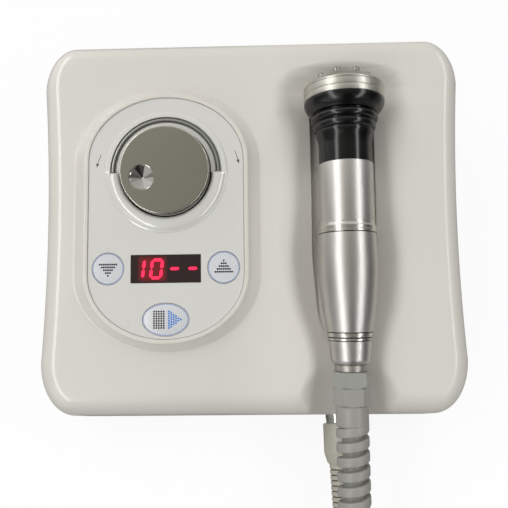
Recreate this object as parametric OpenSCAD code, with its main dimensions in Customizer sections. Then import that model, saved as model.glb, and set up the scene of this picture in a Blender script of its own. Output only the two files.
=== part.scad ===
// Desktop facial toning device: a sloping white console with a dial, keys and a
// time display, and a silver electrode handpiece that lies in a scooped cradle.
// Millimetres. Origin at the bottom centre of the console, +X right, +Y back, +Z up.

/* [Console] */
// Width over the widest part of the console
console_w = 304; // [296:1:320]
// Depth of the console
console_d = 263; // [255:1:275]
// How far each side is drawn in at the waist
waist = 3.2; // [0:0.2:6]
// Height of the sloping face at the front edge
front_h = 54; // [52:1:60]
// Slope of the face, in degrees
face_slope = 12; // [10:0.5:14]
// Roll of the side edges
side_roll = 14.5; // [10:0.5:16]
// Roll of the front edge
front_roll = 14; // [11:0.5:16]
// Roll of the back edge
back_roll = 14; // [8:0.5:16]
// Corner size across the console
corner_x = 25; // [20:1:30]
// Front corner size along the depth
front_corner = 36; // [30:1:42]
// Back corner size along the depth
back_corner = 32.5; // [28:0.5:36]
// Thickness of the shell's walls
wall = 3; // [2:0.25:3.5]
// Height of the split between shell and base above the table
split_z = 6.5; // [6:0.25:7.5]
// Clearance between the shell and the base's lip
lip_gap = 0.25; // [0.1:0.05:0.5]

/* [Base] */
// Thickness of the base plate
base_t = 3; // [2.5:0.25:3.5]
// Height of the lip inside the shell
lip_h = 5; // [3:0.5:8]
// Radius of a rubber foot
foot_r = 8; // [6:0.5:10]
// Height of a rubber foot
foot_h = 4.5; // [4:0.25:5]
// Depth of a foot's recess in the base
foot_sink = 1; // [0.5:0.25:1.5]
// Radius of a base screw's shank
screw_r = 1.5; // [1.2:0.1:1.8]
// Length of a base screw's shank
screw_len = 11; // [8:0.5:14]
// Wall around a screw in its post
post_wall = 3; // [2.5:0.25:3.5]

/* [Control panel] */
// Distance of the control panel left of the console's middle
panel_x = 58.8; // [56:0.2:62]
// Distance of the control panel behind the face's middle
panel_v = 2.3; // [0:0.1:5]
// Half width of the raised oval at its rim
oval_hw = 57.6; // [56:0.2:60]
// Half height of the raised oval at its rim
oval_hh = 88.1; // [87:0.2:91]
// Height of the rounded ends of the oval
oval_end = 48; // [44:1:52]
// Spread of the oval's flank at its foot, across
flank_x = 9; // [6:0.5:10]
// Spread of the oval's flank at its foot, up and down
flank_v = 6.2; // [4:0.2:7]
// Height of the oval's rim above the face
oval_h = 8; // [7:0.25:9]
// Width of the rim around the overlay
rim_w = 3; // [2:0.25:4]
// Depth of the overlay below the rim
rim_step = 1; // [0.5:0.1:1.5]
// Thickness of the overlay
overlay_t = 1.2; // [0.8:0.1:1.4]
// Clearance around the overlay, window and keys
panel_gap = 0.35; // [0.2:0.05:0.5]
// Thickness of the shell under the overlay
deck_t = 2.5; // [2:0.25:3]

/* [Keys and display] */
// Radius of a round key
key_r = 11; // [9:0.25:12]
// Distance of each round key from the panel's middle line
key_dx = 40.2; // [39:0.2:40.4]
// Height of the round keys along the panel
key_v = -33.8; // [-35:0.2:-32]
// Half width of the start key
start_a = 16; // [14:0.25:17]
// Half height of the start key
start_b = 11.2; // [10:0.2:12]
// Height of the start key along the panel
start_v = -69.2; // [-70:0.2:-68]
// Travel of a key
key_travel = 0.5; // [0.3:0.1:0.7]
// Width of a key's hidden flange beyond its cap
key_flange = 1; // [0.8:0.1:1.2]
// Thickness of a key's hidden flange
flange_t = 1.2; // [1:0.1:1.4]
// Play of the flange under the deck
flange_play = 0.2; // [0.1:0.05:0.3]
// Width of the display window
window_w = 48.6; // [46:0.2:52]
// Height of the display window
window_h = 19.4; // [18:0.2:21]
// Height of the display's middle along the panel
window_v = -34.2; // [-35:0.1:-33]
// Ledge that carries the window
window_ledge = 1.5; // [1:0.1:2]
// Height of the display module
module_h = 8; // [7:0.25:9]

/* [Dial] */
// Radius of the dial
dial_r = 30.9; // [28:0.1:31.2]
// Height of the dial's middle along the panel
dial_v = 34; // [33:0.2:36]
// Height of the dial's top above the overlay
dial_h = 7.8; // [7:0.1:9]
// Gap between the dial and the overlay
dial_lift = 1.3; // [1.2:0.1:1.6]
// Thickness of the dial's chrome top
dial_top = 4; // [3.6:0.1:4.4]
// Thickness of the dial's chrome skirt
dial_skirt = 1.6; // [1.2:0.1:2]
// Radius of the finger dimple
dimple_r = 8.6; // [7:0.1:9]
// Depth of the finger dimple
dimple_depth = 3; // [2:0.1:3.2]
// Distance of the dimple from the dial's axis
dimple_at = 16.3; // [14:0.1:18]
// Turn of the dial from its lowest to its highest setting, in degrees
dial_sweep = 218; // [180:1:240]
// Travel of the dial when it is pressed
press_travel = 0.8; // [0.5:0.1:1]
// Radial gap between the dial and its ring
ring_gap = 0.9; // [0.5:0.1:1.2]
// Width of the ring around the dial
ring_w = 11.4; // [10.5:0.1:13]
// Height of the ring's upper half above the overlay
ring_low = 1; // [0.8:0.1:1.4]
// Height of the ring's raised lower half above the overlay
ring_high = 3.2; // [2.4:0.1:4]
// Distance of the silver level arc from the ring's inner edge
arc_in = 3; // [2.4:0.1:4]
// Width of the silver level arc
arc_w = 4.4; // [3.5:0.1:5]
// Radius of the encoder's shaft
shaft_r = 3; // [2.5:0.1:3.2]
// Radial running clearance of the encoder's moving pieces
run_gap = 0.05; // [0.03:0.01:0.08]

/* [Handpiece] */
// Distance of the handpiece's axis right of the console's middle
hand_x = 66.9; // [65:0.1:69]
// Height of the handpiece's axis above the face
hand_w = 7; // [7:0.25:9]
// Radius of the electrode head
head_r = 28; // [26:0.1:28.2]
// Depth of the electrode head's rim
head_rim = 10.5; // [9.5:0.5:12]
// Height of the head's domed end
head_dome = 11.5; // [9:0.1:12]
// Number of electrodes in the ring
electrode_count = 8; // [6:1:10]
// Radius of an electrode
electrode_r = 2.5; // [2:0.1:3]
// Radius of the circle of electrodes
electrode_pcr = 17; // [15:0.1:18]
// Radius of the black collar's tube
collar_r = 18.3; // [17:0.1:18.8]
// Radius of the front tube
tube_r = 19.05; // [18:0.05:19.5]
// Radius of the mid ring's ridges
mid_r = 19.9; // [19.6:0.1:20.3]
// Greatest radius of the rear barrel
barrel_r = 20.5; // [20:0.1:21]
// Radius of the barrel's narrow end
barrel_end_r = 15.5; // [15:0.1:16]
// Radius of the tail cap
tail_r = 14.8; // [14:0.1:15]
// Wall of the handpiece's tubes
hand_wall = 2; // [1.5:0.1:2.5]
// Lift of the handpiece out of its cradle
hand_lift = 70; // [40:5:100]

/* [Cable gland] */
// Hexagon of the gland's body across its flats
gland_af = 23; // [21:0.5:24]
// Hexagon of the gland's nut across its flats
nut_af = 22.4; // [20:0.2:23]
// Outer radius of the gland's dome and spiral
spiral_r = 11; // [10:0.1:11.4]
// Wall of the spiral
spiral_wall = 3; // [2:0.25:3.5]
// Length of the spiral strain relief
spiral_len = 62; // [50:1:70]

/* [Cradle] */
// Height of the cradle's scooping centre above the face
scoop_w = 33; // [33:0.5:36]

/* [Cord and plug] */
// Diameter of the handpiece's cord
cord_d = 8; // [7:0.5:8]
// Radius of the plug's grip
plug_r = 11.5; // [10:0.25:12]
// Radius of the plug's chrome nose
nose_r = 9.1; // [8.8:0.1:9.3]
// Length of the plug's chrome nose outside the socket
nose_len = 2.8; // [2:0.1:6]
// Length of the plug's grip
grip_len = 28.5; // [24:0.5:32]
// Radius of the socket's bezel
socket_r = 9.4; // [9.2:0.1:10]
// Height of the socket's bezel in front of the shell
bezel_t = 3.5; // [3:0.25:4]
// Radius of the socket's threaded barrel
barrel_thread_r = 8.3; // [8:0.1:8.6]
// Wall of the socket's threaded barrel
socket_wall = 1.7; // [1.5:0.1:2]
// Radius over the corners of the socket's nut
nut_r = 12; // [11:0.25:12.5]

/* [Power entry] */
// Distance of the power entry left of the console's middle
entry_x = 95; // [80:1:100]
// Height of the power entry's middle
entry_z = 46; // [42:1:50]
// Width of the power entry's flange
entry_w = 50; // [48:1:52]
// Height of the power entry's flange
entry_h = 52; // [50:1:54]
// Thickness of the power entry's flange
entry_t = 2; // [1.5:0.25:2.5]
// Width of the power entry's body behind the wall
entry_body_w = 29; // [28:0.5:32]
// Depth of the power entry's body behind the flange
entry_depth = 26; // [24:0.5:30]
// Turn of the power rocker, in degrees
rocker_turn = 14; // [10:1:16]
// Travel of the fuse drawer
drawer_travel = 18; // [10:1:20]

/* [Hidden] */
SMALL = 0.01;
half_d = console_d / 2;
base_z = split_z - base_t;
centre_z = front_h + half_d * tan(face_slope);
overlay_w = oval_h - rim_step;
seat_w = overlay_w - overlay_t;
deck_w = seat_w - deck_t;
panel_c = [-panel_x, panel_v];
board_w = deck_w - flange_play - module_h;
board_t = 1.6;
board_size = [98, 144];
board_v = -11;
key_w = deck_w - flange_play - flange_t;
tact_h = 3.5;
tact_size = 6;
stem_r = 1.7;
arc_steps = 8;
side_steps = 6;
roll_angles = [0, 22.5, 45, 67.5, 90];

// ---------- shared shapes ----------

// Closed mesh through rings of points that all have the same count, from the
// lowest ring to the highest, each running anticlockwise seen from above
module loft(rings) {
    n = len(rings[0]);
    last = len(rings) - 1;
    points = [for (r = rings) for (p = r) p];
    sides = [for (i = [0:last - 1]) for (j = [0:n - 1])
        let (k = (j + 1) % n, a = i * n + j, b = i * n + k, c = b + n, d = a + n)
            each [[a, d, c], [a, c, b]]];
    floor_cap = [for (j = [0:n - 1]) j];
    roof_cap = [for (j = [n - 1:-1:0]) last * n + j];
    polyhedron(points, concat(sides, [floor_cap, roof_cap]), convexity = 6);
}

// Height of the sloping face's plane over a point y of the plan
function face_z(y) = centre_z + y * tan(face_slope);

// The face's own frame: X right, Y up the slope, Z out of the face
module on_face() translate([0, 0, centre_z]) rotate([face_slope, 0, 0]) children();

// A place on the control panel, given from the dial's and keys' middle line
module on_panel(x, v, w = 0) on_face() translate([x - panel_x, v, w]) children();

module disc(r, h, z = 0) translate([0, 0, z]) cylinder(r = r, h = h, $fn = 64);

module plate(w, d, h, z = 0) translate([-w / 2, -d / 2, z]) cube([w, d, h]);

// ---------- console outline ----------

function half_w(y) = console_w / 2 - waist * (1 - pow(y / (half_d - front_corner), 2));

// One quarter corner as [x, y, front weight, back weight], from the side to the end
function corner(y0, ry, rx, end, inset_x) =
    [for (i = [0:arc_steps]) let (t = 90 * i / arc_steps)
        [half_w(y0) - corner_x + (corner_x - inset_x) * cos(t), y0 + end * ry * sin(t),
         end < 0 ? pow(sin(t), 2) : 0, end > 0 ? pow(sin(t), 2) : 0]];

function reversed(list) = [for (i = [len(list) - 1:-1:0]) list[i]];

// Right half of the plan from the front middle to the back middle, then the left half
function plan(inset_x, inset_f, inset_b) =
    let (yf = -half_d + front_corner, yb = half_d - back_corner,
         right = concat(
            reversed(corner(yf, front_corner - inset_f, corner_x, -1, inset_x)),
            [for (i = [1:side_steps - 1]) let (y = yf + (yb - yf) * i / side_steps)
                [half_w(y) - inset_x, y, 0, 0]],
            corner(yb, back_corner - inset_b, corner_x, 1, inset_x)))
    concat(right, [for (p = reversed(right)) [-p[0], p[1], p[2], p[3]]]);

// A ring of the rolled edge: turn 0 is the top of the wall, 90 the edge of the face
function roll_ring(turn, skin) =
    let (k = 1 - cos(turn), drop = 1 - sin(turn))
    [for (p = plan(skin + (side_roll - skin) * k, skin + (front_roll - skin) * k,
                   skin + (back_roll - skin) * k))
        let (roll = side_roll * (1 - p[2] - p[3]) + front_roll * p[2] + back_roll * p[3])
        [p[0], p[1], face_z(p[1]) - skin / cos(face_slope) - (roll - skin) * drop]];

function flat_ring(inset, z) = [for (p = plan(inset, inset, inset)) [p[0], p[1], z]];

module console_body(skin, from_z) {
    loft(concat([flat_ring(skin, from_z)], [for (t = roll_angles) roll_ring(t, skin)]));
}

module plan_slab(inset, z, h) {
    translate([0, 0, z]) linear_extrude(h)
        polygon([for (p = plan(inset, inset, inset)) [p[0], p[1]]]);
}

// ---------- raised oval ----------

oval_steps = 12;

// An oval with straight sides and elliptical ends, about the panel's middle
function oval(hw, hh, end) =
    concat(
        [for (i = [0:oval_steps]) let (t = 180 * i / oval_steps)
            [hw * cos(t), hh - end + end * sin(t)]],
        [for (i = [0:oval_steps]) let (t = 180 + 180 * i / oval_steps)
            [hw * cos(t), -(hh - end) + end * sin(t)]]);

function oval_ring(inset_x, inset_v, w) =
    [for (p = oval(oval_hw - inset_x, oval_hh - inset_v, oval_end - inset_v)) [p[0], p[1], w]];

module at_oval() on_face() translate([panel_c[0], panel_c[1], 0]) children();

// Flank of the oval, hollow like a cove: [share of the spread, height share]
flank = [[1, -0.25], [1, 0], [0.62, 0.1], [0.34, 0.32], [0.13, 0.68], [0, 1]];

module oval_boss() {
    at_oval() loft([for (f = flank) oval_ring(-flank_x * f[0], -flank_v * f[0], oval_h * f[1])]);
}

module oval_slab(inset, w, h) {
    at_oval() translate([0, 0, w]) linear_extrude(h)
        polygon(oval(oval_hw - inset, oval_hh - inset, oval_end - inset));
}

// ---------- cradle scoop ----------

// Half width of the cradle where it meets the face: [half width, place along the face]
scoop_plan = [
    [12, 111.5], [24, 109.5], [33, 105.5], [40, 100.5], [43.3, 94], [43.4, 84], [43.3, 79],
    [41.2, 74], [38.6, 69], [36.8, 62], [36.2, 50], [36.2, 14], [38, 0], [40.2, -15], [40.2, -28],
    [38, -43], [34, -62], [28, -79], [25.4, -88], [24.4, -97], [24.4, -103],
    [26, -108], [29.5, -114], [32.5, -121], [34.5, -129], [36, -140], [36, -160]
];

function scoop_r(half) = sqrt(half * half + scoop_w * scoop_w);

module scoop(skin) {
    top = scoop_plan[0];
    foot = scoop_plan[len(scoop_plan) - 1];
    on_face() translate([hand_x, 0, scoop_w]) rotate([-90, 0, 0])
        rotate_extrude($fn = 128)
            polygon(concat([[0, foot[1]]],
                reversed([for (s = scoop_plan) [scoop_r(s[0]) + skin, s[1] + (s == top ? skin : 0)]]),
                [[0, top[1] + skin]]));
}

// ---------- shell ----------

post_r = screw_r + post_wall;
post_foot = base_z + 6;
screw_seat = base_z + 3.5;
screw_places = [[-131, -101], [131, -101], [-131, 105], [131, 105], [0, 114], [0, -112]];

module shell_posts() {
    for (p = screw_places) translate([p[0], p[1], post_foot])
        disc(post_r, face_z(p[1]) - wall / 2 - post_foot);
}

board_posts = [[-46, 45], [46, 45], [-38, -62], [38, -62]];
board_post_r = 3.4;
board_screw_r = 1.2;
board_screw_len = 5.5;

module panel_posts() {
    for (p = board_posts) on_panel(p[0], p[1], board_w)
        disc(board_post_r, deck_w - board_w + SMALL);
}

module key_hole(r, from_w, h) {
    for (side = [-1, 1]) on_panel(side * key_dx, key_v, from_w) disc(r, h);
}

start_steps = 48;

module start_shape(grow) {
    polygon([for (i = [0:start_steps - 1]) let (t = 360 * i / start_steps)
        [(start_a + grow) * cos(t), (start_b + grow) * sin(t)]]);
}

module start_hole(grow, from_w, h) {
    on_panel(0, start_v, from_w) linear_extrude(h) start_shape(grow);
}

bush_r = shaft_r + 0.6;
bush_gap = 0.6;

module upper_shell() {
    color("#e9e7e1") difference() {
        union() {
            difference() {
                union() {
                    console_body(0, split_z);
                    oval_boss();
                }
                difference() {
                    union() {
                        console_body(wall, split_z - 1);
                        oval_slab(rim_w - 0.5, -wall * 2, deck_w + wall * 2);
                    }
                    scoop(wall);
                }
            }
            intersection() {
                shell_posts();
                console_body(wall / 2, split_z - 1);
            }
            panel_posts();
        }
        scoop(0);
        oval_slab(rim_w, seat_w, rim_step + overlay_t + 1);
        key_hole(key_r + panel_gap, deck_w - 1, deck_t + 2);
        start_hole(panel_gap, deck_w - 1, deck_t + 2);
        on_panel(0, window_v, deck_w - 1)
            plate(window_w - 2 * window_ledge, window_h - 2 * window_ledge, deck_t + 2);
        on_panel(0, dial_v, deck_w - 1) disc(bush_r + bush_gap, deck_t + 2);
        for (p = board_posts) on_panel(p[0], p[1], board_w - 1) disc(board_screw_r, board_screw_len);
        for (p = screw_places) translate([p[0], p[1], post_foot - 1]) disc(screw_r, screw_len);
        at_socket() turned_y(barrel_thread_r + 0.1, wall + 2, -1);
        at_entry() translate([0, -wall / 2, 0]) cube([entry_body_w + 0.6, wall + 2, entry_body_h + 0.6],
            center = true);
        for (side = [-1, 1]) at_entry() translate([side * inlet_screw_x, 0, 0])
            turned_y(inlet_screw_r, wall + 2, -wall - 1);
    }
}

// ---------- base ----------

foot_places = [[-112, -88], [112, -88], [-112, 92], [112, 92]];
lip_t = 2;
lip_inset = wall + lip_gap;
power_at = [-40, 42];
power_size = [130, 86];
power_z = split_z + 8;
power_hole_in = 7;
power_hole_x = power_size[0] / 2 - power_hole_in;
power_hole_y = power_size[1] / 2 - power_hole_in + 1;
power_posts = [for (i = [-1, 1], j = [-1, 1]) [i * power_hole_x, j * power_hole_y]];
power_post_r = 3.5;
power_screw_r = 1.4;
power_screw_len = 6;

module base_tray() {
    color("#d9d7d0") difference() {
        union() {
            plan_slab(0.6, base_z, base_t - 0.3);
            difference() {
                plan_slab(lip_inset, base_z, base_t + lip_h);
                plan_slab(lip_inset + lip_t, split_z, lip_h + 1);
            }
            for (p = screw_places) translate([p[0], p[1], base_z]) disc(post_r + 1, post_foot - base_z);
            for (p = power_posts) translate([power_at[0] + p[0], power_at[1] + p[1], base_z])
                disc(power_post_r, power_z - base_z);
        }
        for (p = foot_places) translate([p[0], p[1], base_z - 1]) disc(foot_r, foot_sink + 1);
        for (p = screw_places) translate([p[0], p[1], base_z - 1]) {
            disc(screw_head_r + 0.3, screw_seat - base_z + 1);
            disc(screw_r + 0.2, post_foot - base_z + 2);
        }
        for (p = power_posts) translate([power_at[0] + p[0], power_at[1] + p[1], power_z - power_screw_len])
            disc(power_screw_r, power_screw_len + 1);
        for (i = [-4:4]) translate([90 + i * 6, 20, base_z - 1]) plate(2.4, 40, base_t + 2);
        // clear of the posts' inner screws, the front socket and the power entry
        at_socket() turned_y(nut_r + 1, 14, 0.7);
    }
}

screw_head_r = 3;
screw_head_h = 2;

module screw(r, len, head_r, head_h) {
    disc(r, len);
    disc(head_r, head_h, -head_h);
}

module base_screws() {
    color("#8d8f93") for (p = screw_places) translate([p[0], p[1], screw_seat])
        screw(screw_r, screw_len, screw_head_r, screw_head_h);
}

module rubber_feet() {
    color("#2b2b2b") for (p = foot_places) translate([p[0], p[1], 0])
        rotate_extrude($fn = 64) polygon([[0, 0], [foot_r - 1, 0], [foot_r - 0.2, 0.8],
            [foot_r - 0.2, foot_h], [0, foot_h]]);
}

// ---------- panel ----------

module panel_overlay() {
    color("#eceef0") difference() {
        oval_slab(rim_w + panel_gap, seat_w, overlay_t);
        key_hole(key_r + panel_gap, seat_w - 1, overlay_t + 2);
        start_hole(panel_gap, seat_w - 1, overlay_t + 2);
        on_panel(0, window_v, seat_w - 1)
            plate(window_w + 2 * window_gap, window_h + 2 * window_gap, overlay_t + 2);
        on_panel(0, dial_v, seat_w - 1) disc(hub_r + 1, overlay_t + 2);
    }
}

window_gap = 0.15;
window_t = overlay_t;

module display_window() {
    color("#2a1c1e") on_panel(0, window_v, seat_w) plate(window_w, window_h, window_t);
}

digit_pitch = 12.7;
module_d = 19;

module display_module() {
    color("#1c1c1e") on_panel(0, window_v, board_w)
        plate(4 * digit_pitch, module_d, module_h - 0.3);
}

ring_in = dial_r + ring_gap;
ring_r = ring_in + ring_w;
arc_r = ring_in + arc_in;

module dial_ring() {
    color("#f1f0ec") on_panel(0, dial_v, overlay_w) difference() {
        union() {
            rotate_extrude($fn = 96) polygon([[ring_in, 0], [ring_r, 0], [ring_r, ring_low - 0.5],
                [ring_r - 0.5, ring_low], [ring_in, ring_low]]);
            intersection() {
                rotate_extrude($fn = 96) polygon([[ring_in, 0], [ring_r, 0],
                    for (t = [0:15:180]) [ring_r - bulge_w / 2 + bulge_w / 2 * cos(t),
                        ring_low - 0.4 + (ring_high - ring_low + 0.4) * sin(t)],
                    [ring_in, ring_low]]);
                translate([-ring_r - 1, -ring_r - 1, -1]) cube([2 * ring_r + 2, ring_r + 1, ring_high + 2]);
            }
        }
        translate([0, 0, arc_floor]) arc_band(arc_gap, ring_high);
    }
}

bulge_w = 9.4;
arc_floor = 0.4;
arc_gap = 0.1;

module arc_band(grow, h) {
    intersection() {
        difference() {
            disc(arc_r + arc_w + grow, h);
            disc(arc_r - grow, h + 2, -1);
        }
        translate([-ring_r - 1, -grow, -1]) cube([2 * ring_r + 2, ring_r + 2, h + 2]);
    }
}

module level_arc() {
    color("#9fa1a4") on_panel(0, dial_v, overlay_w + arc_floor) arc_band(0, ring_low - arc_floor - 0.1);
}

// ---------- keys ----------

tact_top = board_w + tact_h;

module round_key(side) {
    color("#f2f4f8") on_panel(side * key_dx, key_v, 0) {
        disc(key_r, overlay_w - key_w, key_w);
        disc(key_r + key_flange, flange_t, key_w);
    }
}

module down_key() round_key(-1);
module up_key() round_key(1);

module start_key() {
    color("#f2f4f8") on_panel(0, start_v, key_w) {
        linear_extrude(overlay_w - key_w) start_shape(0);
        linear_extrude(flange_t) start_shape(key_flange);
    }
}

key_places = [[-key_dx, key_v], [key_dx, key_v], [0, start_v]];

module key_switches() {
    color("#3a3a3c") for (p = key_places) on_panel(p[0], p[1], board_w) difference() {
        plate(tact_size, tact_size, tact_h);
        disc(stem_r + run_gap, tact_h, 1);
    }
}

module tact_stem(i) {
    color("#d8c27a") on_panel(key_places[i][0], key_places[i][1], tact_top - 1)
        disc(stem_r, key_w - tact_top + 1);
}

module down_stem() tact_stem(0);
module up_stem() tact_stem(1);
module start_stem() tact_stem(2);

// ---------- dial ----------

dial_foot = overlay_w + dial_lift;
dial_roof = overlay_w + dial_h;
hub_r = shaft_r + 2.6;
knob_t = 1.8;
dimple_turn = 180 + (dial_sweep - 180) / 2;

module dial_cap() {
    ball = (dimple_r * dimple_r + dimple_depth * dimple_depth) / (2 * dimple_depth);
    color("#b9bab8") on_panel(0, dial_v, 0) difference() {
        rotate_extrude($fn = 128) polygon([[0, dial_roof - dial_top],
            [dial_r - dial_skirt, dial_roof - dial_top], [dial_r - dial_skirt, dial_foot],
            [dial_r, dial_foot], [dial_r, dial_roof - 0.6], [dial_r - 0.6, dial_roof], [0, dial_roof]]);
        translate([dimple_at * cos(dimple_turn), dimple_at * sin(dimple_turn),
            dial_roof + ball - dimple_depth]) sphere(r = ball, $fn = 96);
    }
}

module dial_knob() {
    color("#e8e6e0") on_panel(0, dial_v, 0) difference() {
        union() {
            disc(dial_r - dial_skirt - 0.1, knob_t, dial_roof - dial_top - knob_t);
            disc(hub_r, dial_roof - dial_top - overlay_w - 0.6, overlay_w + 0.6);
        }
        disc(shaft_r, dial_h + 2, overlay_w - 1);
    }
}

encoder_size = 13;
encoder_h = 6.8;
rotor_r = shaft_r + 1.95;
rotor_t = 2.2;
rotor_w = board_w + 3.4;
shaft_foot = board_w + 2.6;
plunger_t = 0.9;
bush_top = overlay_w - 1.4;

module dial_shaft() {
    color("#c9cacc") on_panel(0, dial_v, 0) disc(shaft_r, dial_roof - dial_top - shaft_foot, shaft_foot);
}

module encoder_rotor() {
    color("#3f3f44") on_panel(0, dial_v, 0) difference() {
        disc(rotor_r, rotor_t, rotor_w);
        disc(shaft_r + run_gap, rotor_t + 2, rotor_w - 1);
    }
}

module encoder_body() {
    color("#4a6a55") on_panel(0, dial_v, 0) difference() {
        union() {
            plate(encoder_size, encoder_size, encoder_h, board_w);
            disc(bush_r, bush_top - board_w - 1, board_w + 1);
        }
        disc(shaft_r + run_gap, bush_top - board_w, board_w + 0.7);
        disc(rotor_r + run_gap, rotor_t + 0.2, rotor_w - 0.1);
    }
}

module press_plunger() {
    color("#d8c27a") on_panel(0, dial_v, 0) disc(shaft_r, plunger_t, shaft_foot - plunger_t);
}

// ---------- boards ----------

module control_board() {
    color("#2f6b45") on_panel(0, 0, board_w - board_t) difference() {
        translate([0, board_v, 0]) plate(board_size[0], board_size[1], board_t);
        for (p = board_posts) translate([p[0], p[1], -1]) disc(board_screw_r + 0.1, board_t + 2);
    }
}

module board_screws() {
    color("#8d8f93") for (p = board_posts) on_panel(p[0], p[1], board_w - board_t)
        screw(board_screw_r, board_screw_len - 1, 2.2, 1.5);
}

buzzer_r = 6;
buzzer_h = 8;

module buzzer() {
    color("#1c1c1e") on_panel(28, -70, board_w - board_t - buzzer_h) difference() {
        disc(buzzer_r, buzzer_h);
        disc(1.2, 3, -1);
    }
}

ribbon_w = 22;
ribbon_t = 0.8;
ribbon_x = -24;
ribbon_y = 66;

module ribbon_cable() {
    low = power_z + board_t;
    drop = (board_w - board_t) / cos(face_slope);
    color("#b8b8b8") translate([ribbon_x - ribbon_w / 2, 0, 0]) rotate([90, 0, 90]) linear_extrude(ribbon_w)
        polygon([[ribbon_y, low], [ribbon_y + ribbon_t, low], [ribbon_y + ribbon_t, low + 20],
            [40 + ribbon_t, low + 36], [40 + ribbon_t, face_z(40 + ribbon_t) + drop],
            [40, face_z(40) + drop], [40, low + 36 - ribbon_t], [ribbon_y, low + 20 - ribbon_t]]);
}

module at_power(x, y) translate([power_at[0] + x, power_at[1] + y, power_z]) children();

module power_board() {
    color("#3b7a4e") difference() {
        at_power(0, 0) plate(power_size[0], power_size[1], board_t);
        for (p = power_posts) at_power(p[0], p[1]) disc(power_screw_r + 0.1, 10, -1);
    }
}

module power_screws() {
    color("#8d8f93") for (p = power_posts) at_power(p[0], p[1]) translate([0, 0, board_t])
        mirror([0, 0, 1]) screw(power_screw_r, power_screw_len + board_t - 1, 2.6, 1.8);
}

transformer_size = [44, 38, 34];

module transformer() {
    color("#6d5a3a") at_power(transformer_size[0] / 2 + 15 - power_size[0] / 2, 12) {
        plate(transformer_size[0], transformer_size[1], transformer_size[2], board_t);
        plate(transformer_size[0] - 16, transformer_size[1] + 10, transformer_size[2] - 10, board_t + 5);
    }
}

capacitor_r = 6.5;
capacitor_h = 24;

module capacitors() {
    color("#27324a") for (i = [0:2])
        at_power(i * (2 * capacitor_r + 3) + 14, capacitor_r + 10.5 - power_size[1] / 2)
            disc(capacitor_r, capacitor_h, board_t);
}

sink_size = [20, 30, 25];
fin_t = 1.4;

module heat_sink() {
    color("#9a9da1") at_power(power_size[0] / 2 - sink_size[0] / 2 - 9, 18) {
        plate(sink_size[0], sink_size[1], 3, board_t);
        for (i = [-2:2]) translate([i * (sink_size[0] - 4) / 4, 0, 0])
            plate(fin_t, sink_size[1], sink_size[2], board_t);
    }
}

// ---------- power entry ----------

entry_body_h = 47;
inlet_screw_x = 20;
inlet_screw_r = 1.5;
inlet_w = 24;
inlet_h = 16;
inlet_deep = 15.5;
inlet_dz = -13;
slot_w = 24;
slot_h = 7;
slot_dz = 1.5;
rocker_w = 21;
rocker_h = 12;
rocker_dz = 13.5;
rocker_pivot = 3;
rocker_pin_r = 1.5;
drawer_deep = 20;

module at_entry() translate([-entry_x, half_d, entry_z]) children();

// A cylinder along Y, from y to y + len
module turned_y(r, len, y) translate([0, y, 0]) rotate([-90, 0, 0]) cylinder(r = r, h = len, $fn = 64);

module mains_inlet() {
    color("#1d1d1f") at_entry() difference() {
        union() {
            translate([-entry_w / 2, 0, -entry_h / 2]) cube([entry_w, entry_t, entry_h]);
            translate([-entry_body_w / 2, entry_t - entry_depth, -entry_body_h / 2])
                cube([entry_body_w, entry_depth, entry_body_h]);
        }
        translate([-inlet_w / 2, entry_t - inlet_deep, inlet_dz - inlet_h / 2])
            cube([inlet_w, inlet_deep + 1, inlet_h]);
        translate([-slot_w / 2, entry_t - drawer_deep - 0.5, slot_dz - slot_h / 2])
            cube([slot_w, drawer_deep + 2, slot_h]);
        translate([-rocker_w / 2 - 0.5, entry_t - 9, rocker_dz - rocker_h / 2 - 0.5])
            cube([rocker_w + 1, 10, rocker_h + 1]);
        translate([0, entry_t - rocker_pivot, rocker_dz - rocker_h / 2 - 2])
            cylinder(r = rocker_pin_r + run_gap, h = rocker_h + 4, $fn = 48);
        for (side = [-1, 1]) translate([side * inlet_screw_x, 0, 0])
            turned_y(inlet_screw_r + 0.1, entry_t + 2, -1);
        for (p = pin_places)
            translate([p[0] - pin_t / 2, entry_t - entry_depth - 1, inlet_dz + p[1] - pin_w / 2])
                cube([pin_t, entry_depth, pin_w]);
    }
}

pin_places = [[-7, -2], [7, -2], [0, 2]];
pin_t = 2;
pin_w = 4;
pin_tail = 6;

module inlet_pins() {
    color("#c9cacc") at_entry() for (p = pin_places)
        translate([p[0] - pin_t / 2, entry_t - entry_depth - pin_tail, inlet_dz + p[1] - pin_w / 2])
            cube([pin_t, entry_depth + pin_tail - 2, pin_w]);
}

module inlet_screws() {
    color("#8d8f93") at_entry() for (side = [-1, 1]) translate([side * inlet_screw_x, entry_t, 0])
        rotate([90, 0, 0]) screw(inlet_screw_r, 8, 2.8, bezel_t - entry_t);
}

module power_rocker() {
    color("#b01f1f") at_entry() translate([0, entry_t - rocker_pivot, rocker_dz])
        rotate([0, 0, -rocker_turn / 2]) {
            translate([0, 0, -rocker_h / 2]) linear_extrude(rocker_h)
                polygon([[-rocker_w / 2 + 0.3, -2], [rocker_w / 2 - 0.3, -2],
                    [rocker_w / 2 - 0.3, rocker_pivot + 0.2], [0, rocker_pivot - 0.9],
                    [-rocker_w / 2 + 0.3, rocker_pivot + 0.2]]);
            translate([0, 0, -rocker_h / 2 - 1.8]) cylinder(r = rocker_pin_r, h = rocker_h + 3.6, $fn = 48);
        }
}

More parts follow.
